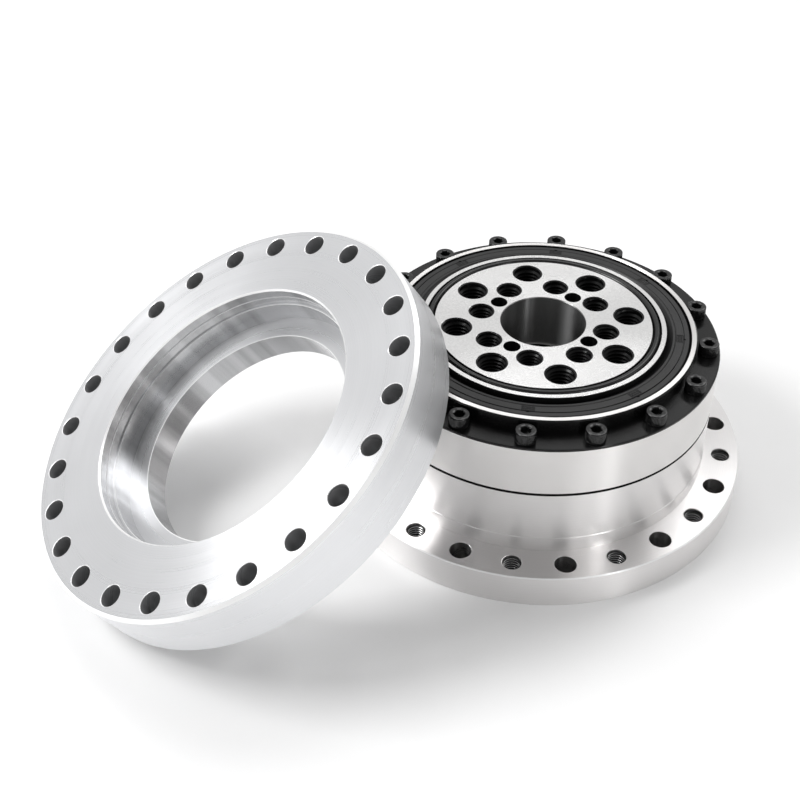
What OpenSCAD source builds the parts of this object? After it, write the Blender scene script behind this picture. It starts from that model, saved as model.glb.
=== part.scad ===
// Strain wave gear unit: a flanged base, a deflected toothed cup driven by an elliptical
// wave generator, a crossed roller output bearing, and a loose adapter flange that leans
// on the unit. Sizes are in millimetres. The gear axis is Z and the origin is the centre
// of the base's underside.

/* [Base] */
// Width of the base flange outside the body
flange_w = 16.5; // [14:0.5:20]
// Thickness of the base flange
flange_t = 15.5; // [13:0.5:18]
// Wall of the body around the circular spline
body_wall = 13.5; // [12:0.5:16]
// Width of the turned collar at the foot of the body
collar_w = 0.3; // [0.1:0.1:2]
// Height of the collar above the flange
collar_h = 6.9; // [2:0.1:12]
// Step from the circular spline's pocket out to the register bore in the underside
register_step = 1; // [0.8:0.1:2]
// Depth of the register above the underside
register_depth = 8.5; // [7:0.5:10]
// Room between the cup's pitch circle and the base's bore
cup_room = 2.8; // [2.6:0.1:4]
// Width of the body's top face, outside the recess that centres the bearing
seat_w = 13; // [12:0.5:14]
// Depth of that recess
spigot_depth = 2.5; // [1.5:0.1:3.5]
// Width of the turned edges
edge_break = 0.5; // [0.2:0.1:0.8]

/* [Base holes] */
// Number of tapped holes, and of plain holes between them
flange_holes = 12; // [6:1:12]
// Distance of the flange's holes from its rim
flange_hole_in = 8.2; // [7:0.1:9]
// Thread size of the tapped holes
flange_thread_d = 8; // [6:1:8]
// Diameter of the plain holes
flange_clear_d = 9.2; // [8:0.1:10]
// Angle of the first tapped hole
flange_angle = -93.1; // [-120:0.1:-60]
// Width of the bevel at a tapped hole's mouth in the flange
flange_bevel = 0.3; // [0.1:0.1:1]

/* [Crossed roller bearing] */
// Diameter of a crossed roller
roller_d = 8; // [7:0.1:9]
// Room for a spacer between two rollers
spacer_room = 1.1; // [0.9:0.05:1.6]
// Distance of the roller circle inside the oil seal's bore
roller_in = 4.6; // [4:0.1:5.4]
// Height of the roller circle above the underside of the output flange
roller_rise = 7.5; // [6.5:0.1:9]
// Height of the oil seal's seat above the roller circle
seal_rise = 8.7; // [7.5:0.1:10]
// Gap between the inner and the outer ring
ring_gap = 1.2; // [0.8:0.1:1.6]
// Height of the black collar below the ledge
ledge_collar_h = 1.1; // [0.6:0.1:2]
// Step from the ground outside diameter to that collar
ledge_step = 0.2; // [0.1:0.1:0.5]
// Height above the ledge of the hub that holds the oil seal
hub_h = 6.1; // [4:0.1:8]
// Diameter of the filling hole's plug
plug_d = 9; // [8.6:0.1:10]
// Diameter of the pin that locks the plug
plug_pin_d = 3; // [2:0.5:3]

/* [Oil seal] */
// Wall of the hub around the oil seal
seal_wall = 2.6; // [2:0.1:4]
// Width of the oil seal, from its bore to the sealed shoulder
seal_w = 10.4; // [9:0.1:12]
// Axial width of the oil seal
seal_h = 10; // [9:0.5:10.5]
// Depth of the seal's face below the hub's land
seal_sink = 0.4; // [0.2:0.1:0.8]
// Number of moulded notches in the seal's face
seal_notches = 8; // [4:1:12]
// Angle of the first notch
seal_angle = -93; // [-120:1:-60]

/* [Clamp screws] */
// Number of screws that clamp the outer ring to the base
clamp_screws = 16; // [8:1:18]
// Distance from the screw heads out to the bearing's rim
head_out = 0.75; // [0.5:0.05:2]
// Distance from the screw heads in to the hub
head_in = 0.55; // [0.4:0.05:1.5]
// Thread size of the clamp screws
clamp_thread_d = 5; // [4:1:5]
// Length of the clamp screws that holds in the base
clamp_hold = 11; // [8:1:14]
// Angle of the first clamp screw
clamp_angle = -2.5; // [-20:0.1:20]

/* [Output flange] */
// Height of the output face above the outer ring's hub
face_rise = 1.25; // [0.5:0.05:3]
// Width of the land outside the face groove
land_w = 2.1; // [1.5:0.1:3]
// Width of the face groove
groove_w = 3.8; // [3.3:0.1:5]
// Depth of the face groove
groove_depth = 2.5; // [2:0.1:3]
// Centre bore, as a share of the output face's diameter
bore_share = 0.38877; // [0.35:0.00001:0.4]
// Gap between the bearing's seat and the underside of the output flange
output_lift = 3.5; // [3:0.1:4.5]
// Number of output holes, and of cup bolts
output_holes = 8; // [4:2:8]
// Thread size of the output holes
output_thread_d = 12; // [8:2:12]
// Depth of the output holes
output_depth = 22; // [16:0.5:24]
// Pitch circle of the output holes, as a share of the output face's diameter
output_share = 0.80238; // [0.76:0.00001:0.83]
// Angle of the first output hole
output_angle = 13.6; // [0:0.1:20]
// Thread size of the inner holes of the output face
inner_thread_d = 10; // [8:2:10]
// Thread size of the cup bolts, which sit below the inner holes
cup_bolt_d = 8; // [6:1:8]
// Length of the cup bolts that holds in the output flange
cup_hold = 11; // [8:1:12]
// Pitch circle of the inner holes and cup bolts, as a share of the output face's diameter
cup_bolt_share = 0.58315; // [0.56:0.00001:0.62]
// Diameter of the dowel holes in the output face
inner_dowel_d = 7; // [6:0.5:7]
// Diameter of the dowel pins, which sit below the dowel holes
dowel_d = 5; // [4:0.5:5.5]
// Length of the dowel pins that holds in the output flange
dowel_hold = 10; // [8:1:12]
// Wall between the dowel holes and the centre bore
dowel_wall = 1.5; // [1.2:0.1:3]
// Depth of the inner holes and the dowel holes from the output face
inner_depth = 14; // [10:0.5:15]
// Thickness of the cap below the centre bore
cap_t = 2; // [1.5:0.1:4]
// Width of the step that seats the cap
cap_step = 0.7; // [0.5:0.1:1]

/* [Wave gear] */
// Number of teeth on the cup
cup_teeth = 100; // [80:2:120]
// Pitch diameter of the cup before it is deflected
cup_pitch_d = 101.6; // [90:0.1:114]
// Width of the toothed rim
rim_w = 17; // [14:0.5:17.5]
// Wall of the rim below the teeth
rim_t = 1.4; // [1:0.1:1.6]
// Wall of the cup
cup_t = 0.9; // [0.6:0.1:1.2]
// Thickness of the diaphragm
diaphragm_t = 1.2; // [0.8:0.1:1.6]
// Thickness of the cup's boss
boss_t = 6; // [4:0.5:8]
// Distance from the cup bolts' circle out to the boss's edge
boss_out = 9; // [8.6:0.1:10]
// Thickness of the clamp ring under the bolt heads
cup_clamp_t = 3; // [2:0.5:4]
// How much thicker the circular spline is than the toothed rim is wide
spline_extra = 1; // [0.6:0.1:2]
// Wall of the circular spline outside its pitch circle
spline_wall = 9.684; // [9:0.001:12]
// Play between the teeth at the pitch line
backlash = 0.14; // [0.08:0.01:0.2]
// Half angle of a tooth
flank_angle = 30; // [26:0.5:31]
// Number of screws that hold the circular spline
spline_screws = 16; // [8:2:20]
// Thread size of those screws
spline_thread_d = 4; // [3:1:4]
// Length of those screws that holds in the base
spline_hold = 8.5; // [6:0.5:10]

/* [Wave generator] */
// Number of balls in the wave bearing
balls = 23; // [15:1:25]
// Diameter of a ball
ball_d = 9; // [8:0.1:9]
// Wall of the wave bearing's outer race behind a ball
outer_race_t = 1.65; // [1.2:0.05:2.2]
// Wall of its inner race behind a ball
inner_race_t = 2.05; // [1.6:0.05:2.8]
// Width of the wave bearing
bearing_w = 14; // [12:0.5:15]
// Wall of the cam plug outside the circle of the retainer's screws
plug_wall = 6.2; // [5:0.1:7]
// Distance from those screws in to the coupling's lugs
lug_in = 3.2; // [2.6:0.1:4]
// Length of the coupling's outer lugs
lug_l = 4; // [3:0.1:5]
// Width of the coupling insert between its inner and outer lugs
insert_w = 6; // [5:0.1:7]
// Wall of the input hub
hub_wall = 5; // [4.2:0.1:6]
// Room between the input hub and the heads of the cup bolts
hub_room = 2.4; // [0.3:0.1:4]
// Width of the keyway in the input bore
key_w = 6; // [4:1:6]
// Depth of the keyway beyond the bore
key_depth = 2.8; // [2:0.1:3]
// Width of the coupling's lugs
lug_w = 8; // [6:0.5:9]
// Thickness of the coupling insert
insert_t = 6; // [5:0.1:6.4]
// Number of screws in the retainer plate
plate_screws = 6; // [4:1:8]
// Thread size of those screws
plate_screw_d = 3; // [2.5:0.5:3]
// Length of those screws
plate_screw_l = 8; // [6:1:9]

/* [Adapter flange] */
// Thickness of the adapter flange
adapter_t = 25; // [22:0.5:28]
// Length of the adapter's spigot
adapter_spigot = 7.4; // [6:0.1:8.2]
// Width of the adapter's face, from its rim to the pilot bore
adapter_face_w = 32; // [29:0.5:34]
// Depth of the pilot bore
pilot_depth = 8.8; // [6:0.1:12]
// Step from the pilot bore in to the second bore
step_in = 1; // [0.5:0.1:3]
// Depth of the second bore from the face
step_depth = 18.3; // [14:0.1:20]
// Step from the second bore in to the through bore
throat_in = 9.6; // [8:0.1:12]
// Depth of the relief in the adapter's back
relief_depth = 2.4; // [1:0.1:4]
// Width of that relief outside the through bore
relief_w = 4.1; // [2:0.1:5]
// Diameter of the adapter's holes
adapter_hole_d = 9.2; // [8:0.1:10]
// Angle of the first adapter hole
adapter_hole_angle = 3.8; // [0:0.1:14]
// Distance from the spigot's rim in to where it leans on the screw heads
lean_in = 0.5; // [0.3:0.1:3]
// Direction that the adapter's face looks to
adapter_facing = 209.8; // [200:0.1:220]
// Direction in which the adapter's centre lies from the gear axis
adapter_bearing = 208.5; // [200:0.1:220]
// Width of the bright edge on the adapter's face
adapter_chamfer = 1.4; // [0.5:0.1:2]

/* [Fits] */
// Clearance of turned pieces that seat in each other
seat_gap = 0.02; // [0.01:0.01:0.04]
// Running clearance of rollers and the seal's lip
run_gap = 0.03; // [0.02:0.01:0.05]
// Clearance of a screw in its thread, on the radius
thread_gap = 0.04; // [0.02:0.01:0.06]
// Clearance of a screw in its through hole, on the radius
screw_gap = 0.25; // [0.1:0.05:0.4]
// Gap between the adapter and the screw heads it leans on
lean_gap = 0.3; // [0.2:0.1:0.4]

/* [Hidden] */
$fn = 96;
wave_steps = 120;
groove_steps = 6;
root_two = sqrt(2);

// Tooth system: two more teeth on the circular spline than on the cup
gear_module = cup_pitch_d / cup_teeth;
cup_pitch_r = cup_pitch_d / 2;
spline_teeth = cup_teeth + 2;
spline_pitch_r = gear_module * spline_teeth / 2;
deflection = spline_pitch_r - cup_pitch_r;

// Screw heads
clamp_head_d = clamp_thread_d * 1.7;
clamp_head_h = clamp_thread_d;
spline_head_d = spline_thread_d * 1.75;
spline_head_h = spline_thread_d;
cup_head_d = cup_bolt_d * 1.6;
cup_head_h = cup_bolt_d;
plate_head_d = plate_screw_d + 2.6;

// Diameters, from the gear outwards
pocket_d = 2 * (spline_pitch_r + spline_wall);
register_d = pocket_d + 2 * register_step;
body_d = pocket_d + 2 * body_wall;
collar_d = body_d + 2 * collar_w;
flange_d = body_d + 2 * flange_w;
flange_pcd = flange_d - 2 * flange_hole_in;
base_bore_d = cup_pitch_d + 2 * cup_room;
spigot_d = body_d - 2 * seat_w;
clamp_pcd = body_d - clamp_head_d - 2 * head_out;
hub_d = clamp_pcd - clamp_head_d - 2 * head_in;
seal_bore_d = hub_d - 2 * seal_wall;
roller_pcd = seal_bore_d - 2 * roller_in;
shaft_d = seal_bore_d - 2 * seal_w;
groove_d = shaft_d - 2 * land_w;
face_d = groove_d - 2 * groove_w;
output_pcd = face_d * output_share;
cup_bolt_pcd = face_d * cup_bolt_share;
bore_d = face_d * bore_share;
dowel_pcd = bore_d + inner_dowel_d + 2 * dowel_wall;
cap_d = bore_d + 2 * cap_step;
boss_d = cup_bolt_pcd + 2 * boss_out;

// Raceways of the crossed roller bearing
roller_l = roller_d * 0.95;
rollers = 2 * floor(PI * roller_pcd / (roller_d + spacer_room) / 2);
race_reach = (roller_d / 2 + run_gap) * root_two;
inner_ring_d = roller_pcd - ring_gap;
outer_ring_d = roller_pcd + ring_gap;
race_half_in = inner_ring_d / 2 - roller_pcd / 2 + race_reach;
race_half_out = race_reach - outer_ring_d / 2 + roller_pcd / 2;

// Heights above the underside of the base, from the gear upwards
spline_t = rim_w + spline_extra;
spline_z = register_depth;
shoulder_z = spline_z + spline_t;
rim_z = shoulder_z - spline_extra / 2 - rim_w;
wave_z = rim_z + rim_w / 2;
keeper_t = 1.5;
washer_t = 1;
snap_t = 1.5;
plug_foot_z = wave_z - bearing_w / 2;
plug_top_z = wave_z + bearing_w / 2 + keeper_t;
plate_foot_z = plug_foot_z - keeper_t;
snap_z = plug_top_z + washer_t + 0.4;
hub_foot_z = register_depth + 0.2;
hub_top_z = snap_z + snap_t + 1.2;
boss_z = hub_top_z + hub_room + cup_head_h + cup_clamp_t;
output_z = boss_z + boss_t;
base_h = output_z - output_lift;
roller_z = output_z + roller_rise;
seal_foot_z = roller_z + seal_rise;
shaft_foot_z = seal_foot_z - 1.2;
seal_z = seal_foot_z + seal_h;
land_z = seal_z + seal_sink;
ledge_z = land_z - hub_h;
ring_h = ledge_z - base_h;
face_z = land_z + face_rise;
head_top_z = ledge_z + clamp_head_h;
cap_h = cap_t + 1.4;

// Lengths of the screws and pins
clamp_l = ring_h + clamp_hold;
spline_screw_l = spline_t - spline_head_h - 0.5 + spline_hold;
spline_pcd = spline_pitch_r + pocket_d / 2 + gear_module * 0.95;
cup_bolt_l = cup_clamp_t + boss_t + cup_hold;
dowel_l = boss_t + dowel_hold;

tooth_pitch = PI * gear_module;
tooth_half = (tooth_pitch - backlash) / 4;
space_half = tooth_pitch / 2 - tooth_half;
cup_tip = 0.8 * gear_module;
cup_root = 0.95 * gear_module;
spline_tip = 0.78 * gear_module;
spline_root = 0.93 * gear_module;
flank_bulge = 0.02 * gear_module;

// Heights of the layers of the wave generator, measured outwards from the pitch line
cup_inner_rise = -(cup_root + rim_t);
bearing_rise = cup_inner_rise - seat_gap;
race_groove_r = ball_d / 2 + 0.15;
ball_rise = bearing_rise - outer_race_t - race_groove_r;
bearing_bore_rise = ball_rise - race_groove_r - inner_race_t;
plug_rise = bearing_bore_rise - seat_gap;
land_from_ball = ball_d * 0.37;
cage_half_t = ball_d * 0.2;
keeper_rise = bearing_bore_rise + 1.6;
plate_screw_r = cup_pitch_r + plug_rise - plug_wall;
lug_reach = plate_screw_r - lug_in;
coupling_d = 2 * (lug_reach - lug_l);
hub_barrel_d = coupling_d - 2 * insert_w;
input_bore_d = hub_barrel_d - 2 * hub_wall;
plug_bore_d = hub_barrel_d + 3;
recess_top_z = plug_foot_z + insert_t + 2.8;
insert_z = recess_top_z - insert_t - 0.2;
insert_inner_d = hub_barrel_d + 0.6;
hub_lug_reach = coupling_d / 2 - 2.5;
snap_groove_r = hub_barrel_d / 2 - 0.9;

// Bores of the adapter
adapter_rim_r = flange_d / 2;
adapter_depth = adapter_t + adapter_spigot;
pilot_d = flange_d - 2 * adapter_face_w;
step_d = pilot_d - 2 * step_in;
adapter_bore_d = step_d - 2 * throat_in;
relief_d = adapter_bore_d + 2 * relief_w;
relief_from = adapter_depth - relief_depth;

// Placing of the adapter, which stands on the edge of its back and leans with the rim of
// its spigot on the screw heads
clamp_r = clamp_pcd / 2;
lean_span = register_d / 2 - 2 * seat_gap - lean_in + adapter_rim_r - edge_break;
lean_drop = adapter_spigot + lean_gap;
adapter_tilt = asin(head_top_z / norm([lean_span, lean_drop])) + atan2(lean_drop, lean_span);
adapter_z = adapter_t * cos(adapter_tilt) + (adapter_rim_r - edge_break) * sin(adapter_tilt);
lean_reach = max([for (i = [0:clamp_screws - 1])
    clamp_r * cos(clamp_angle + i * 360 / clamp_screws - adapter_facing)]) + clamp_head_d / 2;
lean_height = (head_top_z - adapter_z) * cos(adapter_tilt);
adapter_out = (lean_reach + (adapter_depth + lean_gap + lean_height) / sin(adapter_tilt))
    / cos(adapter_facing - adapter_bearing);

// ---------------------------------------------------------------- helpers

function polar(r, a) = [r * cos(a), r * sin(a)];

// Shape of the deflected cup. Its neutral line swells by the deflection at the two ends of
// the long axis, slips along itself so that its length stays the same, and tilts.
function swell(a) = deflection * cos(2 * a);
function slip(a) = -deflection / 2 * sin(2 * a);
function tilt(a) = 1.5 * deflection * sin(2 * a) / cup_pitch_r * 180 / PI;

// A point at a height above the neutral line and a distance along it. The share runs from
// 1 at the toothed rim to 0 at the diaphragm, where the cup is round.
function wave_point(a, rise, along = 0, share = 1) =
    polar(cup_pitch_r + share * swell(a), a)
    + polar(share * slip(a), a + 90)
    + polar(rise, a + share * tilt(a))
    + polar(along, a + share * tilt(a) + 90);

function wave_loop(rise, share = 1) =
    [for (i = [0:wave_steps - 1]) wave_point(i * 360 / wave_steps, rise, 0, share)];

// Corners of one tooth, as pairs of distance along and height above the pitch line
cup_tooth = [
    [-tooth_half - cup_root * tan(flank_angle), -cup_root],
    [-tooth_half - flank_bulge, 0],
    [-tooth_half + cup_tip * 0.8 * tan(flank_angle), cup_tip * 0.8],
    [-tooth_half + cup_tip * tan(flank_angle) + 0.08 * gear_module, cup_tip],
    [tooth_half - cup_tip * tan(flank_angle) - 0.08 * gear_module, cup_tip],
    [tooth_half - cup_tip * 0.8 * tan(flank_angle), cup_tip * 0.8],
    [tooth_half + flank_bulge, 0],
    [tooth_half + cup_root * tan(flank_angle), -cup_root]
];

spline_space = [
    [-space_half - spline_tip * tan(flank_angle), -spline_tip],
    [-space_half + spline_root * tan(flank_angle), spline_root],
    [space_half - spline_root * tan(flank_angle), spline_root],
    [space_half + spline_tip * tan(flank_angle), -spline_tip]
];

module ring_array(count, pcd, first = 0) {
    for (i = [0:count - 1])
        rotate([0, 0, first + i * 360 / count])
            translate([pcd / 2, 0, 0])
                children();
}

// A closed band between a lower and an upper loop of points, each with an inner loop
module loft_ring(low_out, low_in, top_out, top_in, low_z, top_z) {
    n = len(low_out);
    loops = concat(
        [for (p = low_out) [p[0], p[1], low_z]], [for (p = top_out) [p[0], p[1], top_z]],
        [for (p = top_in) [p[0], p[1], top_z]], [for (p = low_in) [p[0], p[1], low_z]]);
    skin = [for (k = [0:3], i = [0:n - 1])
        [k * n + i, ((k + 1) % 4) * n + i, ((k + 1) % 4) * n + (i + 1) % n, k * n + (i + 1) % n]];
    polyhedron(points = loops, faces = skin, convexity = 8);
}

// A ring whose section, given as pairs of rise and height, follows the wave
module wave_ring(section) {
    n = wave_steps;
    m = len(section);
    points = [for (s = section, i = [0:n - 1])
        concat(wave_point(i * 360 / n, s[0]), [s[1]])];
    skin = [for (k = [0:m - 1], i = [0:n - 1])
        [k * n + i, ((k + 1) % m) * n + i, ((k + 1) % m) * n + (i + 1) % n, k * n + (i + 1) % n]];
    polyhedron(points = points, faces = skin, convexity = 8);
}

// Socket head screw with its head above the level plane and its shank below
module socket_screw(d, length, head_d, head_h, socket) {
    difference() {
        rotate_extrude()
            polygon([
                [0, -length], [d / 2 - d / 10, -length], [d / 2, -length + d / 10], [d / 2, 0],
                [head_d / 2, 0], [head_d / 2, head_h - d / 12],
                [head_d / 2 - d / 12, head_h], [0, head_h]
            ]);
        translate([0, 0, head_h * 0.45])
            cylinder(d = socket / cos(30), h = head_h, $fn = 6);
    }
}

// Flush screw with a conical head whose face is the level plane
module flat_screw(d, length, head_d, socket) {
    difference() {
        rotate_extrude()
            polygon([
                [0, -length], [d / 2 - d / 10, -length], [d / 2, -length + d / 10],
                [d / 2, -(head_d - d) / 2], [head_d / 2, 0], [0, 0]
            ]);
        translate([0, 0, -1])
            cylinder(d = socket / cos(30), h = 2, $fn = 6);
    }
}

// Tool for a tapped or plain hole from a face downwards, with a bevel of 120 degrees at its
// mouth
module hole(d, depth, bevel = 0) {
    slope = tan(30);
    sink = bevel * slope;
    translate([0, 0, -depth])
        cylinder(d = d, h = depth + 1);
    if (bevel > 0)
        translate([0, 0, -sink])
            cylinder(d1 = d, d2 = d + 2 * (sink + 1) / slope, h = sink + 1);
}

// ---------------------------------------------------------------- housing

module base_flange() {
    rim = flange_d / 2;
    color("gainsboro")
    difference() {
        rotate_extrude($fn = 180)
            polygon([
                [register_d / 2 + edge_break, 0], [rim - edge_break, 0], [rim, edge_break],
                [rim, flange_t - edge_break], [rim - edge_break, flange_t],
                [collar_d / 2, flange_t], [collar_d / 2, flange_t + collar_h - 0.3],
                [body_d / 2, flange_t + collar_h], [body_d / 2, base_h - 0.2],
                [body_d / 2 - 0.2, base_h], [spigot_d / 2, base_h],
                [spigot_d / 2, base_h - spigot_depth], [base_bore_d / 2, base_h - spigot_depth],
                [base_bore_d / 2, shoulder_z], [pocket_d / 2, shoulder_z],
                [pocket_d / 2, register_depth], [register_d / 2, register_depth],
                [register_d / 2, edge_break]
            ]);
        translate([0, 0, flange_t]) {
            ring_array(flange_holes, flange_pcd, flange_angle)
                hole(flange_thread_d, flange_t + 1, flange_bevel);
            ring_array(flange_holes, flange_pcd, flange_angle + 180 / flange_holes)
                hole(flange_clear_d, flange_t + 1, 0.15);
        }
        translate([0, 0, base_h]) {
            ring_array(clamp_screws, clamp_pcd, clamp_angle)
                hole(clamp_thread_d, clamp_l - ring_h + 2, 0.3);
            o_ring_channel();
        }
        translate([0, 0, shoulder_z])
            ring_array(spline_screws, spline_pcd, 360 / spline_screws / 2)
                mirror([0, 0, 1])
                    hole(spline_thread_d, spline_screw_l - spline_t + spline_head_h + 2.5, 0.3);
    }
}

o_ring_mid_r = spigot_d / 4 + clamp_pcd / 4 - clamp_thread_d / 4;
o_ring_w = 2.2;

module o_ring_channel() {
    rotate_extrude()
        translate([o_ring_mid_r, 0])
            square([o_ring_w + 0.2, 2.8], center = true);
}

module base_o_ring() {
    color("black")
    translate([0, 0, base_h - 0.7])
        rotate_extrude()
            translate([o_ring_mid_r, 0])
                intersection() {
                    circle(d = o_ring_w, $fn = 32);
                    square([o_ring_w, 1.32], center = true);
                }
}

module circular_spline() {
    rim = pocket_d / 2 - seat_gap;
    teeth = [for (j = [0:spline_teeth - 1], p = spline_space)
        polar(spline_pitch_r + p[1], j * 360 / spline_teeth)
        + polar(p[0], j * 360 / spline_teeth + 90)];
    color("darkgray")
    translate([0, 0, spline_z])
        difference() {
            rotate_extrude()
                polygon([
                    [spline_pitch_r - 4, 0], [rim - 0.4, 0], [rim, 0.4], [rim, spline_t - 0.4],
                    [rim - 0.4, spline_t], [spline_pitch_r - 4, spline_t]
                ]);
            translate([0, 0, -1])
                linear_extrude(height = spline_t + 2)
                    polygon(teeth);
            ring_array(spline_screws, spline_pcd, 360 / spline_screws / 2) {
                translate([0, 0, -1])
                    cylinder(d = spline_thread_d + 2 * screw_gap, h = spline_t + 2);
                translate([0, 0, -1])
                    cylinder(d = spline_head_d + 2 * screw_gap, h = spline_head_h + 1.5);
            }
        }
}

module spline_screw_set() {
    color("dimgray")
    translate([0, 0, spline_z + spline_head_h + 0.5])
        ring_array(spline_screws, spline_pcd, 360 / spline_screws / 2)
            mirror([0, 0, 1])
                socket_screw(spline_thread_d - 2 * thread_gap, spline_screw_l, spline_head_d,
                    spline_head_h, 3);
}

module bearing_outer_ring() {
    ground_r = body_d / 2;
    collar_r = ground_r + ledge_step;
    hub_r = hub_d / 2;
    race_r = outer_ring_d / 2;
    spigot_r = spigot_d / 2 - seat_gap;
    foot_z = base_h - spigot_depth + 0.2;
    color("whitesmoke")
    difference() {
        rotate_extrude($fn = 180)
            polygon([
                [race_r, foot_z], [spigot_r, foot_z], [spigot_r, base_h],
                [ground_r - 0.6, base_h], [ground_r, base_h + 0.6],
                [ground_r, ledge_z - ledge_collar_h], [collar_r, ledge_z - ledge_collar_h],
                [collar_r, ledge_z - 0.3], [collar_r - 0.3, ledge_z], [hub_r, ledge_z],
                [hub_r, land_z - 0.6], [hub_r - 0.6, land_z], [seal_bore_d / 2 + 0.2, land_z],
                [seal_bore_d / 2, land_z - 0.2], [seal_bore_d / 2, seal_foot_z],
                [race_r, seal_foot_z], [race_r, roller_z + race_half_out],
                [race_r + race_half_out, roller_z], [race_r, roller_z - race_half_out]
            ]);
        translate([0, 0, ledge_z])
            ring_array(clamp_screws, clamp_pcd, clamp_angle)
                hole(clamp_thread_d + 2 * screw_gap, ring_h + 1, 0);
        plug_place()
            cylinder(d = plug_d, h = body_d);
        plug_pin_place()
            cylinder(d = plug_pin_d, h = ring_h);
    }
}

plug_angle = clamp_angle + (floor(clamp_screws / 4) + 0.5) * 360 / clamp_screws;

module plug_place() {
    rotate([0, 0, plug_angle])
        translate([roller_pcd / 2, 0, roller_z])
            rotate([0, 90, 0])
                children();
}

module plug_pin_place() {
    rotate([0, 0, plug_angle])
        translate([clamp_r, 0, roller_z])
            children();
}

// Plug of the filling hole, with the raceway's groove cut across its inner end
module roller_plug() {
    color("darkgray")
    difference() {
        intersection() {
            plug_place()
                cylinder(d = plug_d - 2 * seat_gap, h = body_d);
            rotate_extrude($fn = 180)
                translate([outer_ring_d / 2, base_h])
                    square([body_d / 2 - outer_ring_d / 2 - 0.1, ring_h]);
        }
        rotate_extrude($fn = 180)
            polygon([
                [outer_ring_d / 2 - 1, roller_z + race_half_out + 1],
                [outer_ring_d / 2 + race_half_out, roller_z],
                [outer_ring_d / 2 - 1, roller_z - race_half_out - 1]
            ]);
        plug_pin_place()
            translate([0, 0, -plug_d])
                cylinder(d = plug_pin_d, h = 2 * plug_d);
    }
}

module roller_plug_pin() {
    color("gray")
    plug_pin_place()
        cylinder(d = plug_pin_d - 2 * seat_gap, h = ledge_z - roller_z - 0.3);
}

// Lip seal: a case in the hub's bore, a lip on the output flange's shoulder and a dust lip
module oil_seal() {
    out_r = seal_bore_d / 2 - seat_gap;
    lip_r = shaft_d / 2 + run_gap;
    face_r = lip_r + 2;
    color("black")
    difference() {
        rotate_extrude()
            polygon([
                [out_r, seal_foot_z + 0.1], [out_r, seal_z - 1], [out_r - 1, seal_z],
                [out_r - 2.9, seal_z], [out_r - 3.05, seal_z - 0.35], [out_r - 3.25, seal_z - 0.35],
                [out_r - 3.4, seal_z], [face_r + 1.8, seal_z], [face_r + 1.5, seal_z + 0.3],
                [face_r + 0.6, seal_z + 0.3], [face_r, seal_z - 0.2],
                [lip_r, seal_z - 1.6], [lip_r, seal_z - 1.9], [face_r - 0.3, seal_z - 2.2],
                [face_r + 0.5, seal_z - 3], [face_r - 0.2, seal_z - seal_h * 0.6],
                [lip_r, lip_z], [lip_r + 1, lip_foot_z], [face_r + 1.6, lip_foot_z],
                [face_r + 1.6, seal_z - 2.6], [out_r - 2.2, seal_z - 2.6],
                [out_r - 2.2, seal_foot_z + 0.1]
            ]);
        garter_channel(garter_r + 0.02);
        translate([0, 0, seal_z - 0.6])
            ring_array(seal_notches, 2 * (out_r - 4.2), seal_angle)
                translate([0, 0, 0.5])
                    cube([3.4, 1.2, 1], center = true);
    }
}

garter_r = 0.9;
lip_z = seal_z - seal_h * 0.74;
lip_foot_z = seal_z - seal_h * 0.86;

module garter_channel(r) {
    translate([0, 0, lip_z])
        rotate_extrude()
            translate([shaft_d / 2 + run_gap + 3.4, 0])
                circle(r = r, $fn = 32);
}

module garter_spring() {
    color("silver")
        garter_channel(garter_r);
}

module clamp_screw_set() {
    color("dimgray")
    translate([0, 0, ledge_z])
        ring_array(clamp_screws, clamp_pcd, clamp_angle)
            socket_screw(clamp_thread_d - 2 * thread_gap, clamp_l, clamp_head_d, clamp_head_h, 4);
}

// ---------------------------------------------------------------- output

module output_flange() {
    bore_r = bore_d / 2;
    shaft_r = shaft_d / 2;
    race_r = inner_ring_d / 2;
    color("whitesmoke")
    difference() {
        rotate_extrude($fn = 180)
            polygon([
                [bore_r, output_z + cap_h + 0.1], [cap_d / 2, output_z + cap_h + 0.1],
                [cap_d / 2, output_z], [race_r - edge_break, output_z],
                [race_r, output_z + edge_break],
                [race_r, roller_z - race_half_in], [race_r - race_half_in, roller_z],
                [race_r, roller_z + race_half_in], [race_r, shaft_foot_z - edge_break],
                [race_r - edge_break, shaft_foot_z], [shaft_r, shaft_foot_z],
                [shaft_r, face_z - 0.25], [shaft_r - 0.2, face_z - 0.05],
                [groove_d / 2, face_z - 0.05], [groove_d / 2, face_z - groove_depth],
                [face_d / 2, face_z - groove_depth], [face_d / 2, face_z - 0.2],
                [face_d / 2 - 0.2, face_z], [bore_r + 0.3, face_z], [bore_r, face_z - 0.3]
            ]);
        translate([0, 0, face_z]) {
            ring_array(output_holes, output_pcd, output_angle)
                hole(output_thread_d, output_depth, output_thread_d * 0.06);
            ring_array(output_holes, cup_bolt_pcd, output_angle + 180 / output_holes)
                hole(inner_thread_d, inner_depth, inner_thread_d * 0.07);
            ring_array(4, dowel_pcd, output_angle + 360 / output_holes)
                hole(inner_dowel_d, inner_depth, 0.2);
        }
        translate([0, 0, output_z])
            mirror([0, 0, 1]) {
                ring_array(output_holes, cup_bolt_pcd, output_angle + 180 / output_holes)
                    hole(cup_bolt_d, cup_hold + 1, 0.5);
                ring_array(4, dowel_pcd, output_angle + 360 / output_holes)
                    hole(dowel_d, dowel_hold + 1, 0);
            }
    }
}

module face_o_ring() {
    cord = groove_depth * 1.15;
    color("black")
    translate([0, 0, face_z - groove_depth + cord / 2])
        rotate_extrude()
            translate([(groove_d + face_d) / 4, 0])
                circle(d = cord, $fn = 32);
}

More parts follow.
